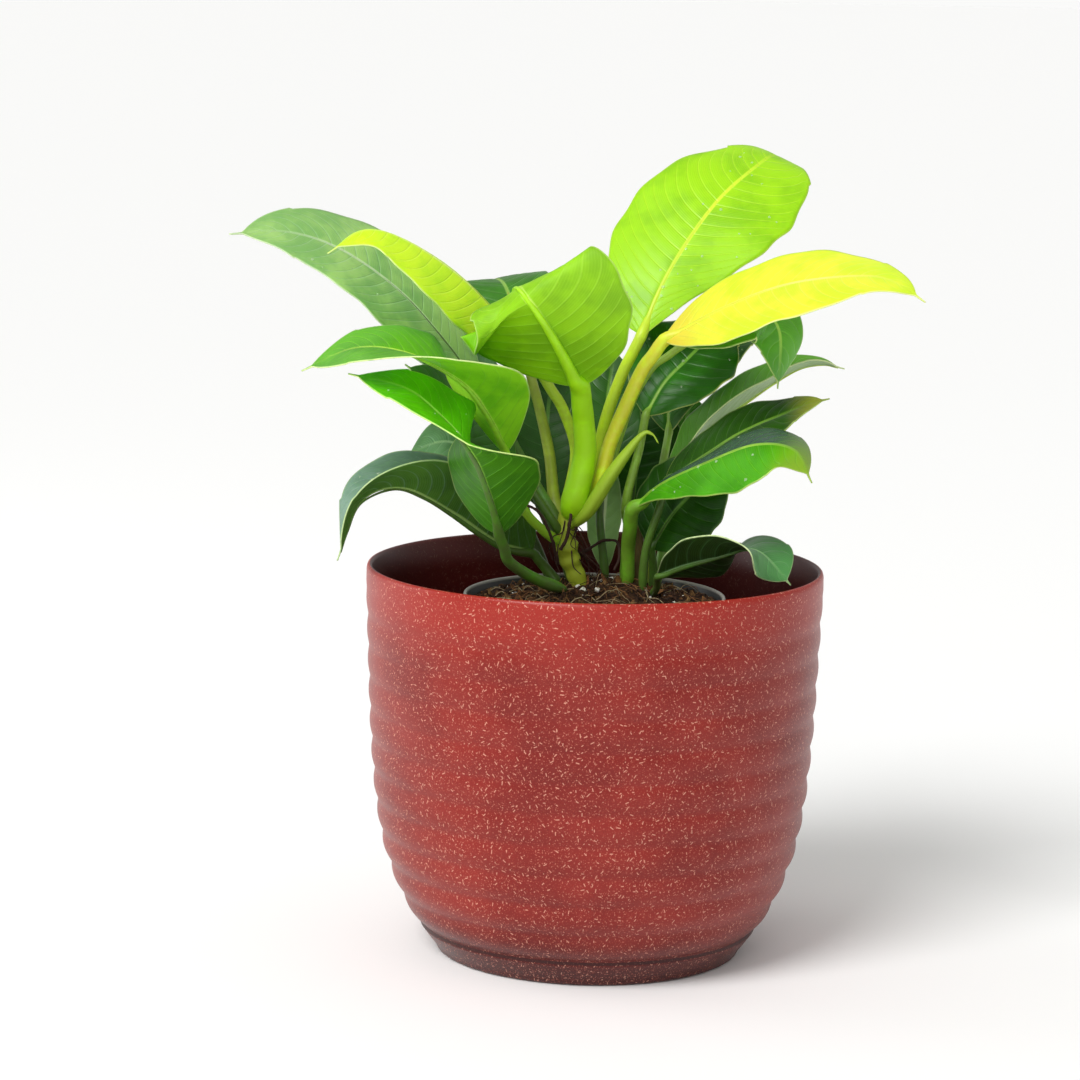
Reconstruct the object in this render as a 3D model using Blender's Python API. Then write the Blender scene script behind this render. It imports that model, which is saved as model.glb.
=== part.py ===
"""Potted philodendron: a leafy plant in a thin nursery pot that stands inside a ribbed cover pot.

Metres, +Z up. The origin is the centre of the cover pot's foot, on the surface it stands on.
Lengths in the tables below are millimetres, and MM turns them into metres. +Y points to the back.
"""

import math

import bmesh
import bpy
from mathutils import Vector

MM = 0.001
GAP = 0.3                   # clearance that touching pieces keep

# Cover pot
POT_HEIGHT = 180.0
POT_RADIUS = 105.0          # at the rim
POT_OUTLINE = (             # (radius, height) of the outside, over the ribs
    (70.0, 0.0), (71.5, 3.0), (76.0, 9.0), (84.5, 21.0), (90.0, 32.0), (95.8, 49.0), (98.8, 64.0),
    (101.0, 82.0), (102.8, 107.0), (104.0, 136.0), (POT_RADIUS, 166.0), (POT_RADIUS, POT_HEIGHT))
POT_WALL = 3.2
POT_FLOOR = 5.0
FOOT_INSET = 2.0            # the flat foot is this much narrower than the wall above it
RIB_PITCH = 14.4
RIB_START = 27.0            # height of the lowest groove
RIB_DEPTH = 1.5             # groove depth at the lowest groove, easing to RIB_DEPTH_TOP at the top
RIB_DEPTH_TOP = 0.5
RIM_BAND = 8.0              # smooth band under the rim
ROWS_PER_RIB = 4
FOOT_ROWS = (0.8, 4.0, 8.0)
INNER_ROWS = (150.0, 120.0, 90.0, 60.0, 42.0, 28.0, 17.0)
INNER_CORNER = ((72.0, 8.0), (64.0, POT_FLOOR))
LIP = ((0.0, 2.5), (0.4, 0.6), (1.4, 0.0), (2.4, 0.6), (3.0, 2.5))    # (inset, drop) from the rim's edge
POT_SEGMENTS = 36

# Nursery pot, the block under it and the soil in it
NURSERY_RIM_RADIUS = 60.5
NURSERY_RIM_HEIGHT = 166.5
NURSERY_HEIGHT = 110.0
NURSERY_FOOT_RADIUS = 43.0
NURSERY_WALL = 0.9
NURSERY_SEGMENTS = 32
NURSERY_RIM_BAND = 8.0      # height of the collar under the nursery pot's rim
NURSERY_COLLAR = 2.0        # how far that collar stands out
RISER_RADIUS = 46.0
RISER_EDGE = 1.5
SOIL_EDGE_DROP = 3.5        # soil level below the nursery pot's rim
SOIL_RINGS = (48.0, 40.0, 32.0, 24.0, 16.0, 8.0, 0.0)
SOIL_MOUND = 9.0            # how far the soil rises around the stems
MOUND_CENTRE = (2.0, 4.0)
MOUND_SPREAD = 30.0

BLADE_THICKNESS = 0.8
BLADE_ALONG = 12            # faces along a blade
BLADE_ACROSS = 4            # faces across it
TIP_START = 0.93            # the blade proper ends here, and the drip tip follows
TIP_HALF_WIDTH = 1.4
END_HALF_WIDTH = 0.5
STALK_GAP = 1.2             # between a stalk's end and its blade

# One entry for each leaf. "stalk" runs from the stem or the soil to the blade, and "rib" along the blade
# from its base to its tip. "radius" is the stalk's, at its foot and at the blade. "widest" is the share of
# the blade's length where it is widest. "face" is where the upper side looks at the base, the middle and
# the tip. "fold" and "bend" are degrees for the left and right halves: how far the half rises from flat at
# the rib, and how much more it curls by its margin. "tip_fold" is the fold at the tip, where it differs.
# "wave" is the height of the ripples along the margin.
LEAVES = {
    "crown": dict(
        stalk=((-7, 5, 211), (-3, 7, 222), (1, 7, 236), (5, 6, 252), (11, 6, 269), (18, 6, 284)),
        rib=((19, 6, 286), (28, 16, 308), (40, 28, 328), (55, 42, 347), (72, 58, 361),
             (82, 72, 366), (87, 86, 358)),
        radius=(3.0, 2.6), width=73, widest=0.55,
        face=((-0.1, -1, 0.3), (-0.1, -0.9, 0.6), (0.3, -0.3, 1)),
        fold=(-8, 4), tip_fold=(0, 4), bend=(-10, -6), wave=1.0, tone="lime"),
    "yellow": dict(
        stalk=((-1, -4, 213), (2, -8, 222), (5, -8, 236), (11, -9, 252), (19, -10, 271),
               (28, -12, 285)),
        rib=((29, -12, 286), (55, -24, 302), (83, -36, 314), (113, -48, 319), (128, -54, 317),
             (141, -60, 309)),
        radius=(3.6, 3.0), width=56, widest=0.5,
        face=((-0.3, -0.6, 0.7), (0, -0.5, 0.86), (0.2, -0.4, 0.9)),
        fold=(0, 4), bend=(-10, -10), wave=1.0, tone="yellow"),
    "front": dict(
        stalk=((-10, -9, 212), (-6, -14, 233), (-7, -20, 249), (-8, -28, 264)),
        rib=((-9, -30, 266), (-18, -46, 284), (-27, -58, 299), (-34, -62, 308), (-38, -50, 311),
             (-42, -28, 300)),
        radius=(6.0, 4.6), width=78, widest=0.5,
        face=((0.1, 0.75, 0.65), (0.2, 0.95, 0.3), (0, -0.2, -1)),
        fold=(0, 0), tip_fold=(22, 15), bend=(0, 0), wave=1.0, tone="lime"),
    "lime": dict(
        stalk=((-13, 10, 209), (-10, 6, 232), (-16, 2, 251), (-27, -3, 269)),
        rib=((-28, -4, 271), (-46, -12, 295), (-64, -24, 314), (-87, -38, 330), (-105, -48, 335),
             (-121, -56, 325)),
        radius=(2.8, 2.4), width=52, widest=0.5,
        face=((0.3, -0.5, 0.75), (0.1, -0.6, 0.8), (-0.3, -0.5, 0.8)),
        fold=(-5, -30), bend=(-10, -15), wave=1.0, tone="lime"),
    "long": dict(
        stalk=((-18, 2, 200), (-28, 6, 216), (-40, 12, 236), (-54, 18, 257)),
        rib=((-55, 19, 259), (-71, 18, 280), (-92, 15, 303), (-119, 9, 322), (-144, 3, 330),
             (-169, -4, 329)),
        radius=(2.6, 2.2), width=58, widest=0.5,
        face=((0.3, -0.5, 0.8), (0.3, -0.5, 0.8), (0, -0.5, 0.8)),
        fold=(5, 5), bend=(-8, -8), wave=1.0, tone="grey"),
    "tucked": dict(
        stalk=((-21, 7, 196), (-31, 18, 216), (-41, 28, 238)),
        rib=((-42, 29, 240), (-60, 36, 263), (-80, 42, 278), (-106, 48, 289)),
        radius=(2.2, 2.0), width=42, widest=0.5,
        face=((0.2, -0.4, 0.9), (0.2, -0.4, 0.9), (0.2, -0.4, 0.9)),
        fold=(5, 5), bend=(-8, -8), wave=1.0, tone="grey"),
    "arched": dict(
        stalk=((-24, -10, 197), (-32, -17, 206), (-38, -22, 218), (-41, -27, 233)),
        rib=((-42, -28, 235), (-49, -40, 251), (-61, -53, 269), (-84, -61, 282), (-108, -60, 284),
             (-132, -55, 273)),
        radius=(2.2, 2.0), width=58, widest=0.5,
        face=((-0.3, 0.9, 0.5), (0, 0.15, 1), (0, -0.4, 1)),
        fold=(5, 60), tip_fold=(-5, 5), bend=(0, 0), wave=1.0, tone="green"),
    "vivid": dict(
        stalk=((-16, -12, 171), (-28, -22, 177), (-39, -34, 186), (-44, -43, 197)),
        rib=((-44, -44, 200), (-49, -56, 220), (-57, -66, 241), (-71, -70, 257), (-86, -70, 268),
             (-111, -63, 273)),
        radius=(2.8, 2.4), width=52, widest=0.38,
        face=((-0.4, 0.8, 0.4), (0.1, -0.1, 1), (0, -0.45, 0.9)),
        fold=(5, 60), tip_fold=(0, 0), bend=(0, 0), wave=1.0, tone="vivid"),
    "drooping": dict(
        stalk=((-18, 9, 171), (-23, 9, 177), (-28, 8, 183)),
        rib=((-29, 7, 184), (-46, -1, 190), (-66, -13, 205), (-88, -29, 218), (-106, -40, 213),
             (-116, -45, 187)),
        radius=(2.6, 2.2), width=58, widest=0.35,
        face=((0.3, -0.1, 0.95), (0.3, -0.1, 0.95), (-0.9, 0, 0.3)),
        fold=(88, 45), tip_fold=(20, 20), bend=(0, 0), wave=1.0, tone="grey"),
    "pale": dict(
        stalk=((-20, 22, 168), (-26, 26, 182), (-33, 30, 196)),
        rib=((-34, 31, 198), (-50, 38, 218), (-69, 44, 230), (-90, 50, 223)),
        radius=(2.2, 2.0), width=44, widest=0.5,
        face=((0.2, -0.6, 0.8), (0.2, -0.6, 0.8), (0.2, -0.6, 0.8)),
        fold=(5, 5), bend=(-8, -8), wave=1.0, tone="grey"),
    "inner": dict(
        stalk=((-20, -6, 201), (-28, -8, 213), (-38, -9, 225)),
        rib=((-38, -10, 227), (-51, -11, 243), (-67, -14, 257), (-88, -19, 273)),
        radius=(2.0, 1.8), width=40, widest=0.5,
        face=((0.3, -0.5, 0.8), (0.3, -0.5, 0.8), (0.3, -0.5, 0.8)),
        fold=(5, 5), bend=(-8, -8), wave=1.0, tone="dark"),
    "wavy": dict(
        stalk=((14, 9, 200), (14, 2, 212), (19, 4, 233), (22, 8, 248)),
        rib=((22, 9, 249), (30, 14, 263), (40, 20, 273), (50, 28, 282), (63, 38, 292)),
        radius=(2.2, 1.9), width=48, widest=0.5,
        face=((-0.2, -0.75, 0.6), (-0.2, -0.75, 0.6), (-0.2, -0.75, 0.6)),
        fold=(8, 8), bend=(-8, -8), wave=2.5, tone="dark"),
    "upper": dict(
        stalk=((24, 25, 168), (26, 28, 190), (30, 36, 214), (33, 43, 232)),
        rib=((34, 45, 237), (34, 50, 248), (38, 55, 258), (46, 62, 268), (57, 70, 276),
             (70, 78, 280), (82, 84, 278)),
        radius=(2.2, 1.9), width=36, widest=0.5,
        face=((-0.3, -0.6, 0.7), (-0.3, -0.6, 0.7), (-0.3, -0.6, 0.7)),
        fold=(8, 8), bend=(-8, -8), wave=2.5, tone="dark"),
    "hooked": dict(
        stalk=((2, 2, 214), (5, 0, 222), (10, -1, 240), (16, -2, 258), (24, -3, 272),
               (36, -3, 282)),
        rib=((38, -3, 283), (55, -6, 294), (70, -6, 300), (81, -5, 290), (81, -8, 264)),
        radius=(1.9, 1.7), width=40, widest=0.5,
        face=((-0.4, -0.5, 0.7), (0.1, -0.5, 0.8), (0.9, -0.5, 0.2)),
        fold=(0, 0), bend=(-8, -8), wave=1.0, tone="green"),
    "slender": dict(
        stalk=((27, 15, 169), (26, 16, 195), (28, 20, 208), (31, 23, 217)),
        rib=((34, 24, 221), (43, 25, 230), (51, 27, 240), (60, 29, 247), (74, 32, 257),
             (91, 34, 268), (104, 36, 271), (115, 37, 269)),
        radius=(2.2, 1.9), width=44, widest=0.45,
        face=((-0.7, 0.05, 0.7), (-0.6, 0.06, 0.8), (0, 0.05, 0.8)),
        fold=(28, 14), bend=(0, 0), wave=0.5, tone="green"),
    "shaded": dict(
        stalk=((30, 40, 165.5), (33, 48, 185), (36, 58, 202)),
        rib=((37, 60, 204), (40, 66, 222), (43, 71, 238), (46, 78, 252)),
        radius=(2.2, 1.9), width=38, widest=0.5,
        face=((-0.2, -0.85, 0.4), (-0.2, -0.85, 0.4), (-0.2, -0.85, 0.4)),
        fold=(5, 5), bend=(-8, -8), wave=1.0, tone="green"),
    "glossy": dict(
        stalk=((15, 6, 171.5), (15, 2, 187), (15, -6, 202)),
        rib=((16, -11, 208), (28, -22, 221), (48, -34, 233), (69, -46, 243), (86, -54, 242),
             (94, -58, 228)),
        radius=(3.2, 3.4), width=48, widest=0.65,
        face=((-0.1, -0.45, 0.9), (-0.1, -0.5, 0.9), (0.5, -0.5, 0.6)),
        fold=(-10, -10), bend=(-15, -10), wave=1.0, tone="green"),
    "broad": dict(
        stalk=((27, 7, 169.5), (27, 6, 178), (26, 5, 186)),
        rib=((26, 4, 188), (35, 1, 204), (46, -2, 217), (61, -6, 234)),
        radius=(2.0, 1.8), width=42, widest=0.45,
        face=((-0.3, -0.85, 0.4), (-0.3, -0.85, 0.4), (-0.3, -0.85, 0.4)),
        fold=(10, 5), bend=(-8, -8), wave=1.0, tone="dark"),
    "tapered": dict(
        stalk=((22, -2, 170.5), (23, -5, 188), (28, -8, 206), (32, -8, 217)),
        rib=((32, -6, 221), (42, -6, 228), (52, -7, 235), (62, -8, 242), (73, -10, 248),
             (84, -12, 253), (94, -15, 258), (104, -17, 261)),
        radius=(2.0, 1.8), width=32, widest=0.45,
        face=((-0.25, -0.5, 0.85), (-0.25, -0.5, 0.85), (-0.3, -0.5, 0.8)),
        fold=(5, 5), bend=(-8, -8), wave=1.0, tone="dark"),
    "low": dict(
        stalk=((27, -8, 169), (28, -17, 173), (28, -27, 178)),
        rib=((28, -29, 180), (39, -36, 186), (53, -41, 191), (71, -42, 195), (87, -46, 180)),
        radius=(1.8, 1.6), width=50, widest=0.6,
        face=((-0.5, 0.9, 0.5), (0.1, 0.1, 1), (0.4, -0.7, 0.6)),
        fold=(5, 5), bend=(0, 0), wave=0.5, tone="green"),
    "short": dict(
        stalk=((5, 23, 171.5), (5, 27, 173)),
        rib=((5, 28, 174), (4, 33, 189), (5, 40, 207), (7, 50, 225)),
        radius=(1.8, 1.6), width=15, widest=0.5,
        face=((0, -0.9, 0.35), (0, -0.9, 0.35), (0, -0.9, 0.35)),
        fold=(5, 5), bend=(-8, -8), wave=0.0, tone="grey"),
    "dark": dict(
        stalk=((17, 33, 168), (17, 37, 192)),
        rib=((17, 38, 194), (19, 50, 214), (22, 64, 236), (24, 80, 256)),
        radius=(2.2, 1.9), width=42, widest=0.5,
        face=((0, -0.85, 0.5), (0, -0.85, 0.5), (0, -0.85, 0.5)),
        fold=(5, 5), bend=(-8, -8), wave=1.0, tone="dark"),
    "back": dict(
        stalk=((-19, 11, 207), (-22, 14, 229), (-27, 16, 250), (-32, 24, 268)),
        rib=((-33, 26, 270), (-38, 38, 287), (-45, 56, 304), (-53, 86, 302), (-60, 112, 286)),
        radius=(3.0, 2.2), width=44, widest=0.5,
        face=((0, -0.85, 0.5), (-0.2, 0.2, 1), (-0.3, 0.4, 0.8)),
        fold=(5, 5), bend=(-8, -8), wave=1.0, tone="dark"),
    "nested": dict(
        stalk=((5, 13, 173), (2, 13, 198), (2, 16, 212)),
        rib=((2, 17, 214), (3, 25, 234), (5, 36, 256), (8, 50, 276)),
        radius=(2.0, 1.8), width=32, widest=0.5,
        face=((0, -0.85, 0.45), (0, -0.85, 0.45), (0, -0.85, 0.45)),
        fold=(5, 5), bend=(-8, -8), wave=1.0, tone="dark"),
    "rear": dict(
        stalk=((-11, 15, 171), (-17, 16, 189), (-20, 21, 198)),
        rib=((-20, 22, 200), (-23, 33, 222), (-23, 46, 245), (-20, 64, 267)),
        radius=(2.2, 1.9), width=42, widest=0.5,
        face=((0, -0.85, 0.5), (0, -0.85, 0.5), (0, -0.85, 0.5)),
        fold=(5, 5), bend=(-8, -8), wave=1.0, tone="dark"),
}

MAIN_STEM = dict(path=((-8, 2, 173), (-13, 0, 186), (-14, -1, 196), (-10, -2, 209)), radius=(4.2, 5.0))
SIDE_STEM = dict(path=((20, 16, 170), (20, 17, 184), (19, 18, 196)), radius=(3.6, 3.0))
BUD_SHEATH = dict(path=((-4, -11, 205), (7, -18, 226), (19, -22, 243), (24, -23, 244), (27, -25, 240)),
                  radius=(3.2, 0.5))
ROOTS = {
    "upright": dict(
        path=((-13, -11, 210), (-12, -12, 203), (-13, -10, 195), (-16, -8, 188)),
        radius=(0.7, 0.9)),
    "tangled": dict(
        path=((-34, -25, 211), (-27, -22, 208), (-22, -17, 199), (-19, -12, 190), (-18, -10, 181)),
        radius=(0.6, 0.8)),
    "looped": dict(
        path=((-3, 8, 186), (4, 9, 190), (10, 7, 190), (11, 2, 184), (9, -2, 178)),
        radius=(0.7, 0.6)),
}

TONES = {
    "lime": (0.34, 0.62, 0.03),
    "yellow": (0.72, 0.85, 0.04),
    "green": (0.09, 0.30, 0.02),
    "vivid": (0.13, 0.45, 0.01),
    "grey": (0.17, 0.34, 0.12),
    "dark": (0.03, 0.13, 0.02),
}
STALK_TONE = (0.36, 0.60, 0.05)
POT_TONE = (0.27, 0.05, 0.04)
NURSERY_TONE = (0.03, 0.03, 0.035)
SOIL_TONE = (0.05, 0.03, 0.02)
STEM_TONE = (0.45, 0.60, 0.06)
ROOT_TONE = (0.07, 0.035, 0.02)
RISER_TONE = (0.80, 0.80, 0.78)


def clear_scene():
    for obj in list(bpy.data.objects):
        bpy.data.objects.remove(obj, do_unlink=True)


def material(name, colour, roughness):
    found = bpy.data.materials.get(name)
    if found:
        return found
    made = bpy.data.materials.new(name)
    made.use_nodes = True
    shader = made.node_tree.nodes["Principled BSDF"]
    shader.inputs["Base Color"].default_value = (*colour, 1.0)
    shader.inputs["Roughness"].default_value = roughness
    shader.inputs["Metallic"].default_value = 0.0
    return made


def add_object(name, data, finish):
    obj = bpy.data.objects.new(name, data)
    bpy.context.scene.collection.objects.link(obj)
    data.materials.append(finish)
    return obj


def mesh_object(name, bm, finish):
    mesh = bpy.data.meshes.new(name)
    bm.to_mesh(mesh)
    bm.free()
    mesh.shade_smooth()
    mesh.set_sharp_from_angle(angle=math.radians(40))
    return add_object(name, mesh, finish)


def smooth_path(points, count):
    """count + 1 points, evenly spaced along a smooth curve through the given points."""
    given = [Vector(p) for p in points]
    ends = [2 * given[0] - given[1]] + given + [2 * given[-1] - given[-2]]
    dense = []
    for i in range(1, len(ends) - 2):
        a, b, c, d = ends[i - 1:i + 3]
        for k in range(16):
            u = k / 16
            dense.append(0.5 * (2 * b + (c - a) * u + (2 * a - 5 * b + 4 * c - d) * u ** 2
                                + (3 * b - a - 3 * c + d) * u ** 3))
    dense.append(given[-1])
    lengths = [0.0]
    for a, b in zip(dense, dense[1:]):
        lengths.append(lengths[-1] + (b - a).length)
    path = []
    k = 0
    for i in range(count + 1):
        wanted = lengths[-1] * i / count
        while k < len(dense) - 2 and lengths[k + 1] < wanted:
            k += 1
        share = (wanted - lengths[k]) / max(lengths[k + 1] - lengths[k], 1e-9)
        path.append(dense[k].lerp(dense[k + 1], min(share, 1.0)))
    return path


def tangent_at(path, i):
    before = path[max(i - 1, 0)]
    after = path[min(i + 1, len(path) - 1)]
    return (after - before).normalized()


def turned(name, profile, segments, finish):
    """A profile of (radius, height) pairs in millimetres, from axis to axis, spun about Z."""
    bm = bmesh.new()
    verts = [bm.verts.new((r * MM, 0.0, z * MM)) for r, z in profile]
    for a, b in zip(verts, verts[1:]):
        bm.edges.new((a, b))
    bmesh.ops.spin(bm, geom=bm.verts[:] + bm.edges[:], cent=(0, 0, 0), axis=(0, 0, 1),
                   angle=math.tau, steps=segments, use_merge=True)
    bmesh.ops.remove_doubles(bm, verts=bm.verts[:], dist=1e-6)
    bmesh.ops.recalc_face_normals(bm, faces=bm.faces[:])
    return mesh_object(name, bm, finish)


def outline_radius(height, outline):
    """Radius of a smooth outline of (radius, height) points at this height."""
    path = smooth_path([(r, 0.0, z) for r, z in outline], 240)
    for a, b in zip(path, path[1:]):
        if b.z >= height:
            share = (height - a.z) / max(b.z - a.z, 1e-9)
            return a.x + (b.x - a.x) * max(0.0, min(share, 1.0))
    return path[-1].x


def groove(height):
    """Depth of the wall's grooves at this height: round bands between narrow grooves."""
    if height < RIB_START - RIB_PITCH:
        return 0.0
    share = (height - RIB_START) / (POT_HEIGHT - RIB_START)
    depth = RIB_DEPTH + (RIB_DEPTH_TOP - RIB_DEPTH) * max(0.0, min(share * 1.3, 1.0))
    fade = max(0.0, min((POT_HEIGHT - RIM_BAND - height) / RIM_BAND, 1.0))
    return fade * depth * (1.0 - abs(math.sin(math.pi * (height - RIB_START) / RIB_PITCH)))


def make_cover_pot():
    profile = [(0.0, 0.0), (POT_OUTLINE[0][0] - FOOT_INSET, 0.0)]
    step = RIB_PITCH / ROWS_PER_RIB
    lowest = RIB_START - RIB_PITCH
    rows = list(FOOT_ROWS)
    rows += [lowest + step * k for k in range(int((POT_HEIGHT - step - lowest) / step) + 1)]
    for height in rows:
        profile.append((outline_radius(height, POT_OUTLINE) - groove(height), height))
    profile += [(POT_RADIUS - inset, POT_HEIGHT - drop) for inset, drop in LIP]
    for height in INNER_ROWS:
        profile.append((outline_radius(height, POT_OUTLINE) - RIB_DEPTH - POT_WALL, height))
    profile += [*INNER_CORNER, (0.0, POT_FLOOR)]
    turned("cover_pot", profile, POT_SEGMENTS, material("reddish_composite", POT_TONE, 0.42))


def nursery_radius(height):
    """Outer radius of the nursery pot's tapered wall at this height."""
    share = (height - NURSERY_RIM_HEIGHT + NURSERY_HEIGHT) / NURSERY_HEIGHT
    return NURSERY_FOOT_RADIUS + (NURSERY_RIM_RADIUS - NURSERY_COLLAR - NURSERY_FOOT_RADIUS) * share


def make_nursery_pot():
    rim = NURSERY_RIM_HEIGHT
    foot = rim - NURSERY_HEIGHT
    middle = (foot + NURSERY_HEIGHT / 3, foot + NURSERY_HEIGHT * 2 / 3)
    band = rim - NURSERY_RIM_BAND
    edge = NURSERY_RIM_RADIUS
    profile = [(0.0, foot), (NURSERY_FOOT_RADIUS - 1.5, foot), (nursery_radius(foot + 2), foot + 2)]
    profile += [(nursery_radius(height), height) for height in (*middle, band - 1)]
    profile += [(edge, band), (edge, rim - 1.0), (edge - 0.7, rim), (edge - 1.8, rim - 0.4)]
    for height in (band + 2, *reversed(middle), foot + 3):
        profile.append((nursery_radius(height) - NURSERY_WALL, height))
    profile += [(NURSERY_FOOT_RADIUS - 3.0, foot + NURSERY_WALL), (0.0, foot + NURSERY_WALL)]
    turned("nursery_pot", profile, NURSERY_SEGMENTS, material("nursery_plastic", NURSERY_TONE, 0.35))


def make_riser():
    top = NURSERY_RIM_HEIGHT - NURSERY_HEIGHT - GAP
    low = POT_FLOOR + GAP
    inner = RISER_RADIUS - RISER_EDGE
    profile = [(0.0, low), (inner, low), (RISER_RADIUS, low + RISER_EDGE), (RISER_RADIUS, top - RISER_EDGE),
               (inner, top), (0.0, top)]
    turned("pot_riser", profile, NURSERY_SEGMENTS, material("riser_foam", RISER_TONE, 0.9))


def soil_height(x, y):
    away = math.hypot(x - MOUND_CENTRE[0], y - MOUND_CENTRE[1])
    ripple = 0.5 * math.sin(x * 0.31 + 1.0) * math.cos(y * 0.27) + 0.3 * math.sin(x * 0.13 - y * 0.41)
    return NURSERY_RIM_HEIGHT - SOIL_EDGE_DROP + SOIL_MOUND * math.exp(-(away / MOUND_SPREAD) ** 2) + ripple


def make_soil():
    foot = NURSERY_RIM_HEIGHT - NURSERY_HEIGHT + NURSERY_WALL + GAP
    level = NURSERY_RIM_HEIGHT - SOIL_EDGE_DROP
    heights = (foot + 4, (foot + level) / 2, level)
    profile = [(0.0, foot), (NURSERY_FOOT_RADIUS - 4.0, foot)]
    profile += [(nursery_radius(height) - NURSERY_WALL - GAP, height) for height in heights]
    profile += [(radius, level) for radius in SOIL_RINGS]
    obj = turned("soil", profile, NURSERY_SEGMENTS, material("peat_soil", SOIL_TONE, 0.95))
    for vert in obj.data.vertices:
        if vert.co.z > (level - 0.01) * MM:
            vert.co.z = soil_height(vert.co.x / MM, vert.co.y / MM) * MM


def half_width(t, leaf):
    """Half the blade's width at t, from 0 at its base to 1 at the end of its drip tip."""
    body = 0.0
    if t < TIP_START:
        power = math.log(0.5) / math.log(leaf["widest"])
        body = leaf["width"] / 2 * math.sin(math.pi * (t / TIP_START) ** power) ** 0.75
    return body + END_HALF_WIDTH + (TIP_HALF_WIDTH - END_HALF_WIDTH) * (1.0 - t)


def facing_at(t, leaf):
    """Where the upper side looks at t, blended between the base, the middle and the tip."""
    first, middle, last = [Vector(v).normalized() for v in leaf["face"]]
    if t < 0.5:
        return first.lerp(middle, t * 2)
    return middle.lerp(last, t * 2 - 1)


def fold_at(t, half, leaf):
    """The half's fold at t: leaves that open towards their tip state it there too."""
    start = leaf["fold"][half]
    end = leaf.get("tip_fold", leaf["fold"])[half]
    return start + (end - start) * t * t * (3 - 2 * t)


def half_section(distance, fold, bend):
    """Sideways and upward offset at this share of the half's width."""
    curl = math.radians(bend) * distance / 2
    chord = distance * (math.sin(curl) / curl if abs(curl) > 1e-6 else 1.0)
    angle = math.radians(fold) + curl
    return chord * math.cos(angle), chord * math.sin(angle)


def make_blade(name, leaf):
    path = smooth_path(leaf["rib"], BLADE_ALONG)
    bm = bmesh.new()
    bmesh.ops.create_grid(bm, x_segments=BLADE_ALONG, y_segments=BLADE_ACROSS, size=0.5)
    for vert in bm.verts:
        t = vert.co.x + 0.5
        side = -2.0 * vert.co.y
        i = round(t * BLADE_ALONG)
        along = tangent_at(path, i)
        facing = facing_at(t, leaf)
        up = (facing - facing.dot(along) * along).normalized()
        across = along.cross(up)
        half = 1 if side > 0 else 0
        out, rise = half_section(abs(side), fold_at(t, half, leaf), leaf["bend"][half])
        width = half_width(t, leaf)
        ripple = leaf["wave"] * math.sin(t * 14.0 + half * 2.0) * side ** 2 * math.sin(math.pi * t)
        place = path[i] + across * (math.copysign(out, side) * width) + up * (rise * width + ripple)
        vert.co = place * MM
    obj = mesh_object("leaf_" + name, bm, material("leaf_" + leaf["tone"], TONES[leaf["tone"]], 0.35))
    solid = obj.modifiers.new("Solidify", "SOLIDIFY")
    solid.thickness = BLADE_THICKNESS * MM
    solid.offset = 0.0


def make_tube(name, points, radii, count, finish):
    """A tapered round stem along a smooth path, closed at both ends."""
    path = smooth_path(points, count)
    curve = bpy.data.curves.new(name, "CURVE")
    curve.dimensions = "3D"
    curve.bevel_depth = MM
    curve.bevel_resolution = 1
    curve.use_fill_caps = True
    spline = curve.splines.new("POLY")
    spline.points.add(len(path) - 1)
    for i, point in enumerate(path):
        spline.points[i].co = (*(point * MM), 1.0)
        spline.points[i].radius = radii[0] + (radii[1] - radii[0]) * i / count
    spline.use_smooth = True
    return add_object(name, curve, finish)


def make_stalk(name, leaf):
    points = [Vector(p) for p in leaf["stalk"]]
    last = points[-1] - points[-2]
    points[-1] = Vector(leaf["rib"][0]) - last.normalized() * STALK_GAP
    make_tube("stalk_" + name, points, leaf["radius"], 6, material("leaf_stalk", STALK_TONE, 0.4))


def make_stems():
    bark = material("stem_bark", STEM_TONE, 0.5)
    make_tube("main_stem", MAIN_STEM["path"], MAIN_STEM["radius"], 5, bark)
    make_tube("side_stem", SIDE_STEM["path"], SIDE_STEM["radius"], 3, bark)
    make_tube("bud_sheath", BUD_SHEATH["path"], BUD_SHEATH["radius"], 8, material("sheath", STEM_TONE, 0.5))
    for name, root in ROOTS.items():
        make_tube("root_" + name, root["path"], root["radius"], 10, material("aerial_root", ROOT_TONE, 0.8))


clear_scene()
make_cover_pot()
make_nursery_pot()
make_riser()
make_soil()
make_stems()
for leaf_name, leaf_shape in LEAVES.items():
    make_blade(leaf_name, leaf_shape)
    make_stalk(leaf_name, leaf_shape)
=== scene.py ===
import math
import random

import bmesh
import bpy
from mathutils import Matrix, Vector, noise


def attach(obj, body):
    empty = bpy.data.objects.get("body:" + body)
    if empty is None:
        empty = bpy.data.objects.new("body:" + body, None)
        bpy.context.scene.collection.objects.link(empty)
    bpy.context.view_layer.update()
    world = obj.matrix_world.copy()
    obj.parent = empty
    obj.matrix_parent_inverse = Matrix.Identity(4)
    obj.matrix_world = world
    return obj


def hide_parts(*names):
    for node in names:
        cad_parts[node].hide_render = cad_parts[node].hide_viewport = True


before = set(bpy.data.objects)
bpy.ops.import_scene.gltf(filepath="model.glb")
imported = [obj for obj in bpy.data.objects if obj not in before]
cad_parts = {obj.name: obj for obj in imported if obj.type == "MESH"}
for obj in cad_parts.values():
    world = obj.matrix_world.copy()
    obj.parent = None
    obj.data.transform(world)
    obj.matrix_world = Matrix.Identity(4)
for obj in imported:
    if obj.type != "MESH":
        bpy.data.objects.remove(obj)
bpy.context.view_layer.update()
mm = 0.001
print("frame loaded with", len(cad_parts), "nodes")


def paint(text):
    # a colour as screens name it, such as "9be01e", turned into linear light
    parts = [int(text[i:i + 2], 16) / 255 for i in (0, 2, 4)]
    linear = [c / 12.92 if c <= 0.04045 else ((c + 0.055) / 1.055) ** 2.4 for c in parts]
    return (*linear, 1.0)


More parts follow.
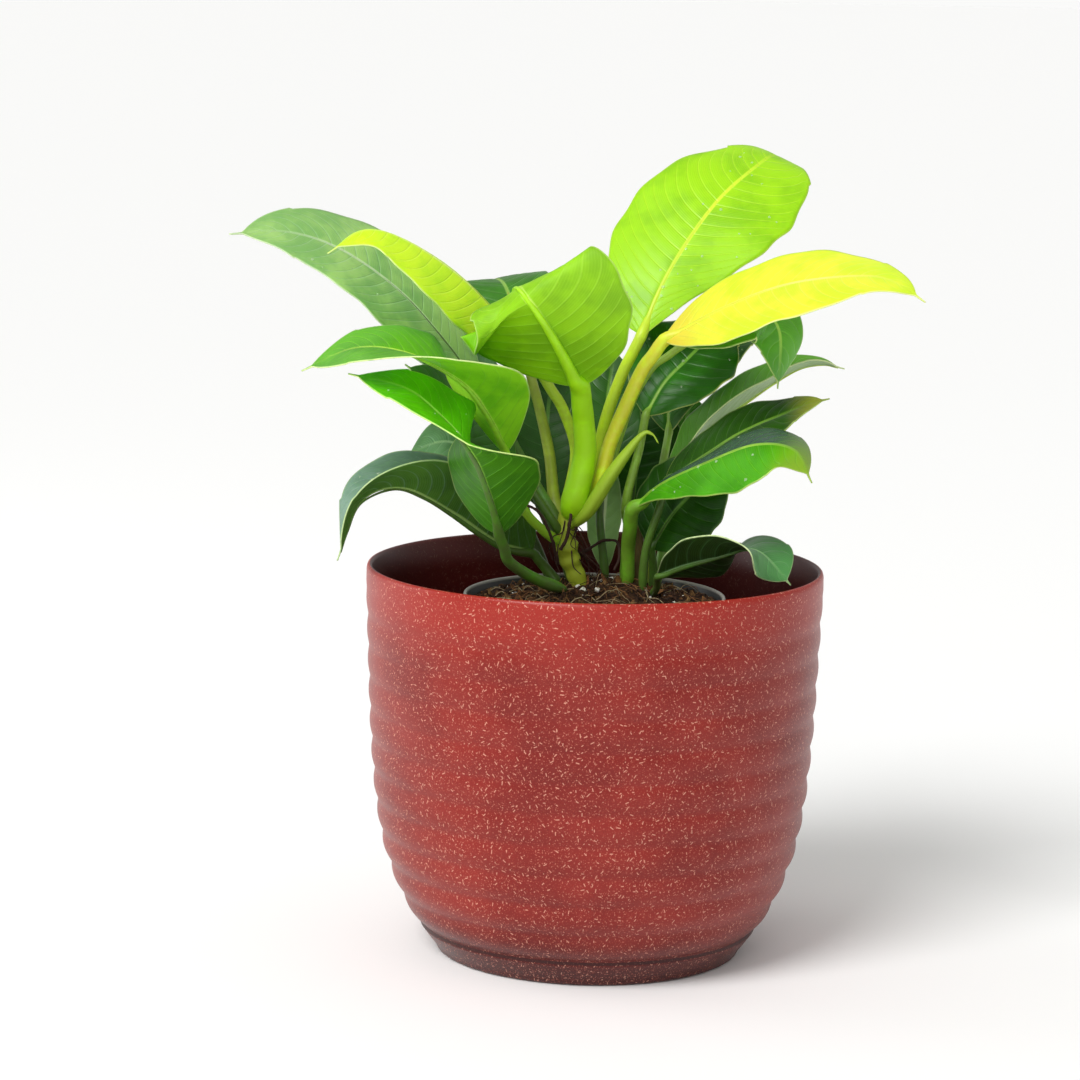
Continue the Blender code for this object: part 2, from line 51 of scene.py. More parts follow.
class Signal:
    # a node socket that takes Python arithmetic
    def __init__(self, finish, made, output):
        self.finish = finish
        self.made = made
        self.socket = made.outputs[output]

    def other(self, output):
        return Signal(self.finish, self.made, output)

    def maths(self, operation, *values):
        return self.finish.node("ShaderNodeMath", {"operation": operation}, dict(enumerate(values)))

    def __add__(self, value):
        return self.maths("ADD", self, value)

    def __radd__(self, value):
        return self.maths("ADD", value, self)

    def __sub__(self, value):
        return self.maths("SUBTRACT", self, value)

    def __rsub__(self, value):
        return self.maths("SUBTRACT", value, self)

    def __mul__(self, value):
        return self.maths("MULTIPLY", self, value)

    def __rmul__(self, value):
        return self.maths("MULTIPLY", value, self)

    def __pow__(self, value):
        return self.maths("POWER", self, value)

    def __abs__(self):
        return self.maths("ABSOLUTE", self)

    def fraction(self):
        return self.maths("FRACT", self)

    def sine(self):
        return self.maths("SINE", self)

    def cosine(self):
        return self.maths("COSINE", self)

    def most(self, value):
        return self.maths("MAXIMUM", self, value)

    def rise(self, low, high):
        # eases from 0 at low to 1 at high, and falls if low is above high
        return self.finish.node("ShaderNodeMapRange", {"interpolation_type": "SMOOTHSTEP"},
                                {"Value": self, "From Min": low, "From Max": high})


class Nodes:
    # nodes written as expressions
    def __init__(self, tree):
        self.tree = tree

    def node(self, kind, settings=None, inputs=None, output=0):
        made = self.tree.nodes.new(kind)
        for name, value in (settings or {}).items():
            if name == "stops":
                for i, (place, colour) in enumerate(value):
                    stop = made.color_ramp.elements[i] if i < 2 else made.color_ramp.elements.new(place)
                    stop.position = place
                    stop.color = colour
            else:
                setattr(made, name, value)
        for key, value in (inputs or {}).items():
            if isinstance(value, Signal):
                self.tree.links.new(value.socket, made.inputs[key])
            else:
                made.inputs[key].default_value = value
        return Signal(self, made, output)

    def place(self):
        return self.node("ShaderNodeTexCoord", output="Object")

    def surfaceMap(self, name):
        return self.node("ShaderNodeUVMap", {"uv_map": name})

    def split(self, vector):
        first = self.node("ShaderNodeSeparateXYZ", inputs={0: vector})
        return first, first.other(1), first.other(2)

    def join(self, x, y, z=0.0):
        return self.node("ShaderNodeCombineXYZ", inputs={0: x, 1: y, 2: z})

    def blend(self, first, second, share):
        return self.node("ShaderNodeMix", {"data_type": "RGBA"}, {0: share, 6: first, 7: second}, 2)

    def grain(self, where, scale, detail=3.0, rough=0.55):
        return self.node("ShaderNodeTexNoise", {}, {"Vector": where, "Scale": scale, "Detail": detail,
                                                    "Roughness": rough})

    def cells(self, where, scale, dimensions="3D"):
        return self.node("ShaderNodeTexVoronoi", {"voronoi_dimensions": dimensions},
                         {"Vector": where, "Scale": scale})

    def ramp(self, share, *stops):
        return self.node("ShaderNodeValToRGB", {"stops": stops}, {0: share})


class Finish(Nodes):
    # a Principled material
    def __init__(self, name, **constants):
        self.material = bpy.data.materials.new(name)
        self.material.use_nodes = True
        super().__init__(self.material.node_tree)
        self.shader = self.tree.nodes["Principled BSDF"]
        for socket, value in constants.items():
            self.shader.inputs[socket.replace("_", " ")].default_value = value

    def wear(self, colour=None, rough=None, height=None, depth=0.1 * mm):
        links = {"Base Color": colour, "Roughness": rough}
        if height is not None:
            links["Normal"] = self.node("ShaderNodeBump", {},
                                        {"Height": height, "Distance": depth, "Strength": 1.0})
        for socket, value in links.items():
            if value is not None:
                self.tree.links.new(value.socket, self.shader.inputs[socket])
        return self.material


def smoothPath(points, count):
    # count + 1 evenly spaced points on one smooth curve through the given points
    given = [Vector(p) for p in points]
    ends = [2 * given[0] - given[1]] + given + [2 * given[-1] - given[-2]]
    dense = []
    for i in range(1, len(ends) - 2):
        a, b, c, d = ends[i - 1:i + 3]
        for k in range(24):
            u = k / 24
            dense.append(0.5 * (2 * b + (c - a) * u + (2 * a - 5 * b + 4 * c - d) * u ** 2
                                + (3 * b - a - 3 * c + d) * u ** 3))
    dense.append(given[-1])
    lengths = [0.0]
    for a, b in zip(dense, dense[1:]):
        lengths.append(lengths[-1] + (b - a).length)
    path = []
    k = 0
    for i in range(count + 1):
        wanted = lengths[-1] * i / count
        while k < len(dense) - 2 and lengths[k + 1] < wanted:
            k += 1
        share = (wanted - lengths[k]) / max(lengths[k + 1] - lengths[k], 1e-9)
        path.append(dense[k].lerp(dense[k + 1], min(share, 1.0)))
    return path


def tangent(path, i):
    return (path[min(i + 1, len(path) - 1)] - path[max(i - 1, 0)]).normalized()


def ease(low, high, value):
    share = max(0.0, min((value - low) / (high - low), 1.0))
    return share * share * (3 - 2 * share)


def finishPiece(name, bm, finishes, replaces=(), smooth=True):
    mesh = bpy.data.meshes.new(name)
    bm.to_mesh(mesh)
    bm.free()
    if smooth:
        mesh.shade_smooth()
    piece = bpy.data.objects.new(name, mesh)
    bpy.context.scene.collection.objects.link(piece)
    for finish in finishes:
        mesh.materials.append(finish)
    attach(piece, "root")
    if replaces:
        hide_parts(*replaces)
    return piece


def spun(profile, steps):
    # a profile of (radius, height) in millimetres, from axis to axis, turned about Z into a closed bmesh
    bm = bmesh.new()
    verts = [bm.verts.new((r * mm, 0.0, z * mm)) for r, z in profile]
    for a, b in zip(verts, verts[1:]):
        bm.edges.new((a, b))
    bmesh.ops.spin(bm, geom=bm.verts[:] + bm.edges[:], cent=(0, 0, 0), axis=(0, 0, 1), angle=math.tau,
                   steps=steps, use_merge=True)
    bmesh.ops.remove_doubles(bm, verts=bm.verts[:], dist=1e-6)
    bmesh.ops.recalc_face_normals(bm, faces=bm.faces[:])
    return bm


def tubeInto(bm, path, radius, sides, section=None):
    # adds a closed tube along path, in metres: radius(t) is its half width, section(angle, t) its outline
    count = len(path) - 1
    layer = bm.loops.layers.uv.verify()
    made = bmesh.ops.create_grid(bm, x_segments=count, y_segments=sides, size=0.5)["verts"]
    side = Vector((0.3, -0.9, 0.2))
    frames = []
    for i in range(count + 1):
        along = tangent(path, i)
        side = (side - side.dot(along) * along).normalized()
        frames.append((side.copy(), along.cross(side)))
    faces = {face for vert in made for face in vert.link_faces}
    for face in faces:
        for loop in face.loops:
            loop[layer].uv = (loop.vert.co.x + 0.5, loop.vert.co.y + 0.5)
    for vert in made:
        t = vert.co.x + 0.5
        angle = math.tau * (vert.co.y + 0.5)
        i = round(t * count)
        away, beside = frames[i]
        reach = radius(t) * (section(angle, t) if section else 1.0)
        vert.co = path[i] + (away * math.cos(angle) + beside * math.sin(angle)) * reach
    bmesh.ops.remove_doubles(bm, verts=made, dist=1e-7)
    rims = [edge for vert in made if vert.is_valid for edge in vert.link_edges if edge.is_boundary]
    bmesh.ops.holes_fill(bm, edges=list(set(rims)), sides=0)


# ---- light, floor and camera ----

scene = bpy.context.scene
scene.view_settings.view_transform = "Standard"

world = bpy.data.worlds.new("Soft room")
scene.world = world
world.use_nodes = True
sky = Nodes(world.node_tree)
_, _, climb = sky.split(sky.node("ShaderNodeTexCoord", output="Generated"))
# bright at the horizon only, so that the floor's far edge doesn't show
glow = sky.blend((0.5, 0.5, 0.495, 1.0), (0.96, 0.96, 0.95, 1.0), climb.rise(0.04, 0.01))
sky.tree.links.new(glow.socket, sky.tree.nodes["Background"].inputs["Color"])

lamps = {
    "Key": {"kind": "SUN", "place": (-0.55, -0.75, 1.15), "power": 2.25, "soft": math.radians(28)},
    "Left": {"kind": "AREA", "place": (-1.35, 0.35, 0.55), "power": 4.0, "soft": 0.8},
    "Front": {"kind": "AREA", "place": (-0.3, -1.7, 0.9), "power": 3.5, "soft": 0.7},
}
for name, look in lamps.items():
    lamp = bpy.data.lights.new(name, look["kind"])
    lamp.energy = look["power"]
    if look["kind"] == "SUN":
        lamp.angle = look["soft"]
    else:
        lamp.size = look["soft"]
    held = bpy.data.objects.new(name, lamp)
    scene.collection.objects.link(held)
    held.location = look["place"]
    held.rotation_euler = (Vector((0, 0, 0.2)) - held.location).to_track_quat("-Z", "Y").to_euler()

bm = bmesh.new()
bmesh.ops.create_grid(bm, x_segments=1, y_segments=1, size=4000.0)
floorFinish = Finish("Pale floor", Base_Color=paint("fdfdfc"), Roughness=0.75, Specular_IOR_Level=0.3)
floorMesh = bpy.data.meshes.new("Floor")
bm.to_mesh(floorMesh)
bm.free()
floorMesh.materials.append(floorFinish.material)
floor = bpy.data.objects.new("Floor", floorMesh)
scene.collection.objects.link(floor)

viewpoint = {"distance": 1.6, "height": 8.86, "roll": 1.13, "aim": (-25.57, 191.15), "lens": 116.016}
drop = math.radians(viewpoint["height"])
roll = math.radians(viewpoint["roll"])
ahead = Vector((0, math.cos(drop), -math.sin(drop)))
level = Vector((1, 0, 0))
upward = level.cross(ahead)
right = math.cos(roll) * level + math.sin(roll) * upward
above = math.cos(roll) * upward - math.sin(roll) * level
lens = bpy.data.cameras.new("Camera")
lens.lens = viewpoint["lens"]
lens.sensor_width = 36.0
lens.clip_start = 0.05
lens.clip_end = 9000.0
lens.dof.use_dof = False
camera = bpy.data.objects.new("Camera", lens)
scene.collection.objects.link(camera)
aim = Vector((viewpoint["aim"][0] * mm, 0, viewpoint["aim"][1] * mm))
camera.location = aim - ahead * viewpoint["distance"]
camera.rotation_euler = Matrix((right, above, -ahead)).transposed().to_euler()
scene.camera = camera
print("stage set")


# ---- cover pot ----

pot = {
    "height": 180.0, "radius": 105.0, "wall": 3.2, "floor": 5.0, "footInset": 2.0,
    "outline": ((70.0, 0.0), (71.5, 3.0), (76.0, 9.0), (84.5, 21.0), (90.0, 32.0), (95.8, 49.0),
                (98.8, 64.0), (101.0, 82.0), (102.8, 107.0), (104.0, 136.0), (105.0, 166.0), (105.0, 180.0)),
    "ribPitch": 14.4, "ribStart": 27.0, "ribDepth": (1.9, 0.9), "rimBand": 8.0,
    "lip": ((0.0, 2.5), (0.12, 1.5), (0.4, 0.7), (0.85, 0.2), (1.4, 0.0), (1.95, 0.2), (2.4, 0.7),
            (2.75, 1.5), (3.0, 2.5)),
    "innerRows": (172, 165, 158, 150, 135, 120, 105, 90, 75, 60, 48, 38, 30, 24, 18),
    "rowGap": 1.2, "segments": 192,
    "innerCorner": ((76.0, 10.0), (72.0, 7.0), (67.0, 5.4), (62.0, 5.0)),
}
outlinePath = smoothPath([(r, 0.0, z) for r, z in pot["outline"]], 400)


def outlineRadius(height):
    for a, b in zip(outlinePath, outlinePath[1:]):
        if b.z >= height:
            return a.x + (b.x - a.x) * max(0.0, min((height - a.z) / max(b.z - a.z, 1e-9), 1.0))
    return outlinePath[-1].x


def groove(height):
    # depth of the wall's grooves: round bands between narrow grooves
    if height < pot["ribStart"] - pot["ribPitch"]:
        return 0.0
    share = (height - pot["ribStart"]) / (pot["height"] - pot["ribStart"])
    deep, shallow = pot["ribDepth"]
    depth = deep + (shallow - deep) * max(0.0, min(share * 1.3, 1.0))
    fade = max(0.0, min((pot["height"] - pot["rimBand"] - height) / pot["rimBand"], 1.0))
    wave = abs(math.sin(math.pi * (height - pot["ribStart"]) / pot["ribPitch"]))
    return fade * depth * (1.0 - math.sqrt(wave * wave + 0.02) / math.sqrt(1.02))


def layFlat(bm, profile, name):
    # a UV map in millimetres: round the piece, measured at the rim, and along its profile
    layer = bm.loops.layers.uv.new(name)
    lengths = [0.0]
    for a, b in zip(profile, profile[1:]):
        lengths.append(lengths[-1] + math.dist(a, b))
    known = {(round(r, 3), round(z, 3)): length for (r, z), length in zip(profile, lengths)}
    for face in bm.faces:
        middle = face.calc_center_median()
        centre = math.atan2(-middle.x, middle.y) if middle.xy.length > 1e-9 else 0.0
        for loop in face.loops:
            co = loop.vert.co
            key = (round(co.xy.length / mm, 3), round(co.z / mm, 3))
            nearby = known.get(key)
            if nearby is None:
                nearby = min(zip(profile, lengths), key=lambda p: math.dist(p[0], key))[1]
            angle = math.atan2(-co.x, co.y) if co.xy.length > 1e-6 else centre
            angle += math.tau * round((centre - angle) / math.tau)
            loop[layer].uv = (angle * pot["radius"], nearby)


def flecks(finish, flat, size, longest, thin, share, shift):
    # short straw-like flecks lying every way, one in some of the cells of a random net; 1 inside a fleck
    where = finish.node("ShaderNodeVectorMath", {"operation": "MULTIPLY_ADD"},
                        {0: flat, 1: (1 / size, 1 / size, 0), 2: (shift, shift * 1.7, 0)})
    near = finish.cells(where, 1.0, "2D")
    gap = finish.node("ShaderNodeVectorMath", {"operation": "SUBTRACT"},
                      {0: where, 1: near.other("Position")})
    x, y, _ = finish.split(gap)
    turn, reach, chosen = finish.split(near.other("Color"))
    cosine = (turn * math.tau).cosine()
    sine = (turn * math.tau).sine()
    along = abs(x * cosine + y * sine) - reach * longest
    across = y * cosine - x * sine
    away = (along.most(0.0) ** 2 + across * across) ** 0.5
    return away.rise(thin * 1.3, thin * 0.6) * chosen.rise(1 - share, 1.02 - share)


def potFinish(name, inside):
    finish = Finish(name, Roughness=0.38, Specular_IOR_Level=0.36)
    flat = finish.surfaceMap("flat")
    place = finish.place()
    _, _, height = finish.split(place)
    cloudy = finish.grain(place, 22.0, 4.0)
    fine = finish.grain(place, 900.0, 3.0, 0.7)
    body = finish.blend(paint("76140c"), paint("8a2219"), cloudy.rise(0.3, 0.7))
    # painted shade: the wall is drawn near black towards the foot, where the pot stands in shadow
    body = finish.blend(body, paint("300402"), height.rise(36 * mm, 3 * mm) * 0.88)
    # painted light: the upper wall is drawn a brighter red towards the rim, where more light falls
    body = finish.blend(body, paint("a82416"), height.rise(140 * mm, 176 * mm) * 0.6)
    body = finish.blend(body, paint("3c0e0c"), fine.rise(0.6, 0.75) * 0.4)
    large = flecks(finish, flat, 3.0, 0.26, 0.075, 0.5, 0.0)
    small = flecks(finish, flat, 1.6, 0.26, 0.11, 0.6, 7.3)
    tiny = flecks(finish, flat, 0.95, 0.22, 0.16, 0.6, 3.9)
    body = finish.blend(body, paint("a8503f"), tiny * 0.45)
    body = finish.blend(body, paint("cf7f6a"), small * 0.55)
    body = finish.blend(body, paint("e8a890"), large * 0.62)
    # painted shade: the inside wall and the pot's floor are drawn much darker, for the shadow inside the pot
    if inside:
        body = finish.blend(body, paint("320a0a"), 0.82)
    rough = 0.3 + cloudy * 0.12 + (large + small) * 0.08
    return finish.wear(body, rough, fine * 0.5 + large * 0.25 + small * 0.2, 0.06 * mm)


profile = [(0.0, 0.0), (40.0, 0.0), (pot["outline"][0][0] - pot["footInset"], 0.0), (69.2, 0.35)]
height = 0.9
while height < pot["height"] - 2.6:
    profile.append((outlineRadius(height) - groove(height), height))
    height += pot["rowGap"]
profile += [(pot["radius"] - inset, pot["height"] - down) for inset, down in pot["lip"]]
for height in pot["innerRows"]:
    profile.append((outlineRadius(height) - pot["ribDepth"][0] - pot["wall"], height))
profile += [*pot["innerCorner"], (40.0, pot["floor"]), (0.0, pot["floor"])]
bm = spun(profile, pot["segments"])
layFlat(bm, profile, "flat")
for face in bm.faces:
    middle = face.calc_center_median()
    inward = face.normal.xy.dot(middle.xy) < -0.2 * middle.xy.length
    onFloor = face.normal.z > 0.5 and middle.z < 20 * mm
    face.material_index = 1 if inward or onFloor else 0
# the second finish is a copy of the first with painted shade, for the inside wall and floor
outside = potFinish("Reddish composite", False)
shadedInsideFinish = potFinish("Reddish composite inside in painted shade", True)
finishPiece("CoverPot", bm, [outside, shadedInsideFinish], ["cover_pot"])
print("cover pot made")


# ---- nursery pot and the block under it ----

nursery = {"rimRadius": 60.5, "rimHeight": 166.5, "height": 110.0, "footRadius": 43.0, "wall": 0.9,
           "band": 8.0, "collar": 2.0}


def nurseryRadius(height):
    share = (height - nursery["rimHeight"] + nursery["height"]) / nursery["height"]
    return nursery["footRadius"] + (nursery["rimRadius"] - nursery["collar"] - nursery["footRadius"]) * share


top = nursery["rimHeight"]
foot = top - nursery["height"]
band = top - nursery["band"]
edge = nursery["rimRadius"]
profile = [(0.0, foot), (nursery["footRadius"] - 1.5, foot), (nursery["footRadius"] - 0.4, foot + 0.5)]
profile += [(nurseryRadius(foot + 2 + 10 * k), foot + 2 + 10 * k) for k in range(10)]
profile += [(nurseryRadius(band - 1), band - 1.0), (edge - 0.6, band - 0.6), (edge, band + 0.2),
            (edge, top - 1.0), (edge - 0.25, top - 0.3), (edge - 0.8, top), (edge - 1.4, top - 0.2),
            (edge - 1.8, top - 0.7),
            (edge - 2.0, band + 3.0), (nurseryRadius(band) - nursery["wall"], band)]
profile += [(nurseryRadius(foot + 3 + 10 * k) - nursery["wall"], foot + 3 + 10 * k) for k in range(9, -1, -1)]
profile += [(nursery["footRadius"] - 3.0, foot + nursery["wall"]), (0.0, foot + nursery["wall"])]
bm = spun(profile, 160)
plastic = Finish("Dark plastic", Roughness=0.35, Specular_IOR_Level=0.5)
place = plastic.place()
_, _, height = plastic.split(place)
scuffsAndSheen = plastic.grain(place, 260.0, 4.0, 0.7)
body = plastic.blend(paint("2a2a2c"), paint("3a393a"), scuffsAndSheen.rise(0.4, 0.7))
# painted highlight: the top of the rim is drawn pale grey, as lit from above; the scuff noise varies how
# strong it is
paintedRimHighlight = height.rise((top - 1.6) * mm, (top - 0.5) * mm)
body = plastic.blend(body, paint("b9b3ab"), paintedRimHighlight * (0.55 + 0.3 * scuffsAndSheen))
finishPiece("NurseryPot", bm, [plastic.wear(body, 0.3 + scuffsAndSheen * 0.2, scuffsAndSheen, 0.05 * mm)],
            ["nursery_pot"])

foam = Finish("Riser foam", Roughness=0.9)
place = foam.place()
beads = foam.cells(place, 300.0)
body = foam.blend(paint("d9d9d4"), paint("f4f4f0"), beads.rise(0.5, 0.1))
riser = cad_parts["pot_riser"]
riser.data.materials.clear()
riser.data.materials.append(foam.wear(body, 0.85 + beads * 0.1, beads, 0.3 * mm))
print("nursery pot made")


# ---- stems, sheath and aerial roots ----

def stemFinish(name, low, middle, high, fibre, rough=0.5):
    # colours along a stem, with fibres running along it and darker streaks
    finish = Finish(name, Roughness=rough, Specular_IOR_Level=0.45)
    t, angle, _ = finish.split(finish.surfaceMap("UVMap"))
    strands = finish.grain(finish.join(t * 3.0, angle * 26.0, 0.0), 1.0, 4.0, 0.65)
    blotch = finish.grain(finish.place(), 190.0, 4.0, 0.6)
    share = t + (blotch - 0.5) * 0.25
    body = finish.ramp(share, (0.12, paint(low)), (0.5, paint(middle)), (0.88, paint(high)))
    body = finish.blend(body, paint(fibre), strands.rise(0.5, 0.66) * 0.5)
    return finish.wear(body, rough - 0.08 + blotch * 0.2, strands + blotch * 0.5, 0.35 * mm)


mainStem = {"path": ((-7, 3, 166), (-8, 2, 173), (-13, 0, 186), (-14, -1, 196), (-10, -2, 211))}


def mainStemRadius(t):
    # swollen at the node half way up, with ring scars round it
    node = 0.9 * math.exp(-((t - 0.5) / 0.12) ** 2)
    scars = 0.5 * math.sin(t * 40) * math.exp(-((t - 0.45) / 0.25) ** 2)
    return mm * (4.1 + 0.9 * t + node + scars) * (1 - 0.75 * ease(0.96, 1.0, t))


def mainStemSection(angle, t):
    return 1 + 0.06 * noise.noise(Vector((2 * math.cos(angle), 2 * math.sin(angle), t * 6)))


bm = bmesh.new()
tubeInto(bm, [p * mm for p in smoothPath(mainStem["path"], 70)], mainStemRadius, 40, mainStemSection)
bmesh.ops.recalc_face_normals(bm, faces=bm.faces[:])
bark = stemFinish("Main stem", "a8b830", "5b3a2c", "d8ec3a", "4a2c22")
finishPiece("MainStem", bm, [bark], ["main_stem"])

stemPath = smoothPath(mainStem["path"], 60)


def stemAxis(height):
    # the nearest place on the main stem's axis, kept below its top
    return min(stemPath, key=lambda p: abs(p.z - min(height, 205)))


sideStem = {"path": ((20, 16, 160), (20, 16, 170), (20, 17, 184), (19, 18, 197))}
bm = bmesh.new()
tubeInto(bm, [p * mm for p in smoothPath(sideStem["path"], 50)],
         lambda t: mm * (3.6 - 0.6 * t) * (1 - 0.8 * ease(0.93, 1.0, t)), 32)
bmesh.ops.recalc_face_normals(bm, faces=bm.faces[:])
olderBark = stemFinish("Side stem", "6d5a2a", "7f9a35", "9cb545", "4a3a22")
finishPiece("SideStem", bm, [olderBark], ["side_stem"])

budSheath = {"path": ((-12, -2, 199), (-4, -11, 207), (7, -18, 226), (19, -22, 243), (24, -23, 244),
                      (27, -25, 240))}


def sheathRadius(t):
    body = 3.9 * math.sin(math.pi * min(0.25 + t * 0.8, 1.0)) ** 0.8
    return mm * (body + 0.45) * (1 - 0.9 * ease(0.985, 1.0, t))


def sheathSection(angle, t):
    # pressed flat, with the crease where its margins meet
    return 1 - 0.22 * abs(math.sin(angle)) - 0.12 * math.exp(-((angle - 2.2) / 0.35) ** 2)


bm = bmesh.new()
tubeInto(bm, [p * mm for p in smoothPath(budSheath["path"], 80)], sheathRadius, 32, sheathSection)
bmesh.ops.recalc_face_normals(bm, faces=bm.faces[:])
husk = stemFinish("Bud sheath", "9ab82c", "86962c", "a8642c", "5d3d22")
finishPiece("BudSheath", bm, [husk], ["bud_sheath"])

rootFinish = stemFinish("Aerial root", "3a2219", "4a2d1f", "2e1b15", "6a4630", 0.8)
roots = {
    "upright": {"path": ((-11, -8, 211), (-12, -12, 203), (-13, -10, 195), (-16, -8, 188)),
                "radius": (0.7, 0.9), "strands": 5},
    "tangled": {"path": ((-34, -25, 211), (-27, -22, 208), (-22, -17, 199), (-19, -12, 190), (-17, -6, 181)),
                "radius": (0.6, 0.8), "strands": 9},
    "looped": {"path": ((-9, 3, 184), (-3, 8, 186), (4, 9, 190), (10, 7, 190), (11, 2, 184), (9, -2, 178)),
               "radius": (0.7, 0.6), "strands": 2},
}
rootDice = random.Random(8)
for name, root in roots.items():
    bm = bmesh.new()
    path = smoothPath(root["path"], 80)
    path = [(p + 0.35 * noise.noise_vector(p * 0.25)) * mm for p in path]
    first, last = root["radius"]

    def rootRadius(t):
        return mm * (first + (last - first) * t) * (1 + 0.22 * noise.noise(Vector((t * 30, first, 0))))

    tubeInto(bm, path, rootRadius, 14)
    for _ in range(root["strands"]):
        # thin rootlets that wander down from the stem's node
        height = rootDice.uniform(186, 208)
        angle = rootDice.uniform(math.pi, 2.2 * math.pi)
        away = Vector((math.cos(angle), math.sin(angle), 0.0))
        knots = [stemAxis(height) + away * 3.0]
        for step in range(1, 5):
            knots.append(stemAxis(height - step * 4) + away * (3.5 + step * rootDice.uniform(0.8, 2.6))
                         + Vector([rootDice.uniform(-2.0, 2.0) for _ in range(3)]))
        fine = rootDice.uniform(0.22, 0.42)
        tubeInto(bm, [p * mm for p in smoothPath(knots, 40)], lambda t: mm * fine * (1.1 - 0.6 * t), 8)
    bmesh.ops.recalc_face_normals(bm, faces=bm.faces[:])
    finishPiece("Root_" + name, bm, [rootFinish], ["root_" + name])
print("stems made")


# ---- soil ----

soil = {"drop": 3.5, "mound": 9.0, "centre": (2.0, 4.0), "spread": 30.0}


def soilHeight(x, y):
    # the broad shape of the soil, in millimetres
    away = math.hypot(x - soil["centre"][0], y - soil["centre"][1])
    ripple = 0.5 * math.sin(x * 0.31 + 1.0) * math.cos(y * 0.27) + 0.3 * math.sin(x * 0.13 - y * 0.41)
    heap = soil["mound"] * math.exp(-(away / soil["spread"]) ** 2)
    return nursery["rimHeight"] - soil["drop"] + heap + ripple


def lumps(x, y):
    spot = Vector((x, y, 0.0))
    return 1.3 * noise.fractal(spot * 0.16, 0.9, 2.0, 4) + 0.7 * noise.noise(spot * 0.6)


floorOfSoil = nursery["rimHeight"] - nursery["height"] + nursery["wall"] + 0.3
levelOfSoil = nursery["rimHeight"] - soil["drop"]
outer = nurseryRadius(levelOfSoil) - nursery["wall"] - 0.3
profile = [(0.0, floorOfSoil), (nursery["footRadius"] - 4.0, floorOfSoil)]
profile += [(nurseryRadius(h) - nursery["wall"] - 0.3, h)
            for h in (floorOfSoil + 4, 100.0, 140.0, levelOfSoil)]
profile += [(outer * (1 - k / 56), levelOfSoil) for k in range(1, 57)]
bm = spun(profile, 128)
for vert in bm.verts:
    if vert.co.z > (levelOfSoil - 0.01) * mm:
        x, y = vert.co.x / mm, vert.co.y / mm
        edgeFade = ease(0.0, 6.0, outer - math.hypot(x, y))
        vert.co.z = (soilHeight(x, y) + edgeFade * lumps(x, y)) * mm
peat = Finish("Peat", Roughness=0.95, Specular_IOR_Level=0.2)
place = peat.place()
clods = peat.grain(place, 160.0, 6.0, 0.7)
crumbs = peat.cells(place, 620.0)
tint, _, _ = peat.split(crumbs.other("Color"))
body = peat.ramp(clods, (0.32, paint("1f120c")), (0.5, paint("3e2618")), (0.68, paint("6a452b")))
body = peat.blend(body, paint("8a5f3c"), tint.rise(0.86, 0.9) * 0.7)
body = peat.blend(body, paint("170d09"), crumbs.rise(0.35, 0.75) * 0.6)
peatTop = peat.wear(body, 0.85 + clods * 0.12, clods - crumbs * 0.5, 0.9 * mm)
finishPiece("Soil", bm, [peatTop], ["soil"])

dice = random.Random(11)


def spot(reach):
    # somewhere on the soil, within this radius, and its height there
    away = reach * math.sqrt(dice.random())
    angle = dice.uniform(0, math.tau)
    x, y = away * math.cos(angle), away * math.sin(angle)
    return Vector((x, y, soilHeight(x, y) + ease(0.0, 6.0, outer - away) * lumps(x, y)))


def turnedAny():
    heading = Matrix.Rotation(dice.uniform(0, math.tau), 3, "Z")
    lean = Matrix.Rotation(dice.uniform(-0.7, 0.7), 3, "X")
    return heading @ lean @ Matrix.Rotation(dice.uniform(0, math.tau), 3, "Y")


def gather(bm, small):
    # moves a small bmesh into a large one
    mesh = bpy.data.meshes.new("gathered")
    small.to_mesh(mesh)
    small.free()
    bm.from_mesh(mesh)
    bpy.data.meshes.remove(mesh)


def scatter(name, kinds, finishes):
    # many small lumps on the soil: each kind gives how many, how big, its proportions and its finish
    bm = bmesh.new()
    for count, small, large, shape, roughness, number in kinds:
        for _ in range(count):
            lump = bmesh.new()
            bmesh.ops.create_uvsphere(lump, u_segments=8, v_segments=5, radius=1.0)
            size = small + (large - small) * dice.random() ** 2
            turn = turnedAny()
            at = spot(54.0)
            for vert in lump.verts:
                shift = 1 + roughness * noise.noise(vert.co * 1.7 + at)
                vert.co = (at + turn @ Vector(a * b for a, b in zip(vert.co * shift, shape)) * size / 2) * mm
            for face in lump.faces:
                face.material_index = number
            gather(bm, lump)
    finishPiece(name, bm, finishes, smooth=False)


def lumpFinish(name, dark, light, rough=0.9):
    finish = Finish(name, Roughness=rough, Specular_IOR_Level=0.25)
    mottled = finish.grain(finish.place(), 420.0, 4.0, 0.7)
    body = finish.blend(paint(dark), paint(light), mottled.rise(0.36, 0.66))
    return finish.wear(body, rough - 0.1 + mottled * 0.2, mottled, 0.2 * mm)


scatter("SoilCrumbs", (
    (900, 1.2, 4.2, (1.0, 0.8, 0.7), 0.7, 0),
    (170, 1.5, 5.0, (1.6, 0.55, 0.35), 0.5, 1),
    (30, 3.0, 8.0, (1.5, 0.7, 0.22), 0.4, 2),
    (60, 1.2, 3.2, (1.0, 0.9, 0.85), 0.5, 3),
), [lumpFinish("Peat crumb", "22140d", "4f3320"), lumpFinish("Peat fibre lump", "4c3420", "8c6a40"),
    lumpFinish("Bark chip", "4a2f1c", "8a5c34"), lumpFinish("Perlite", "d8d4c8", "f6f4ec")])

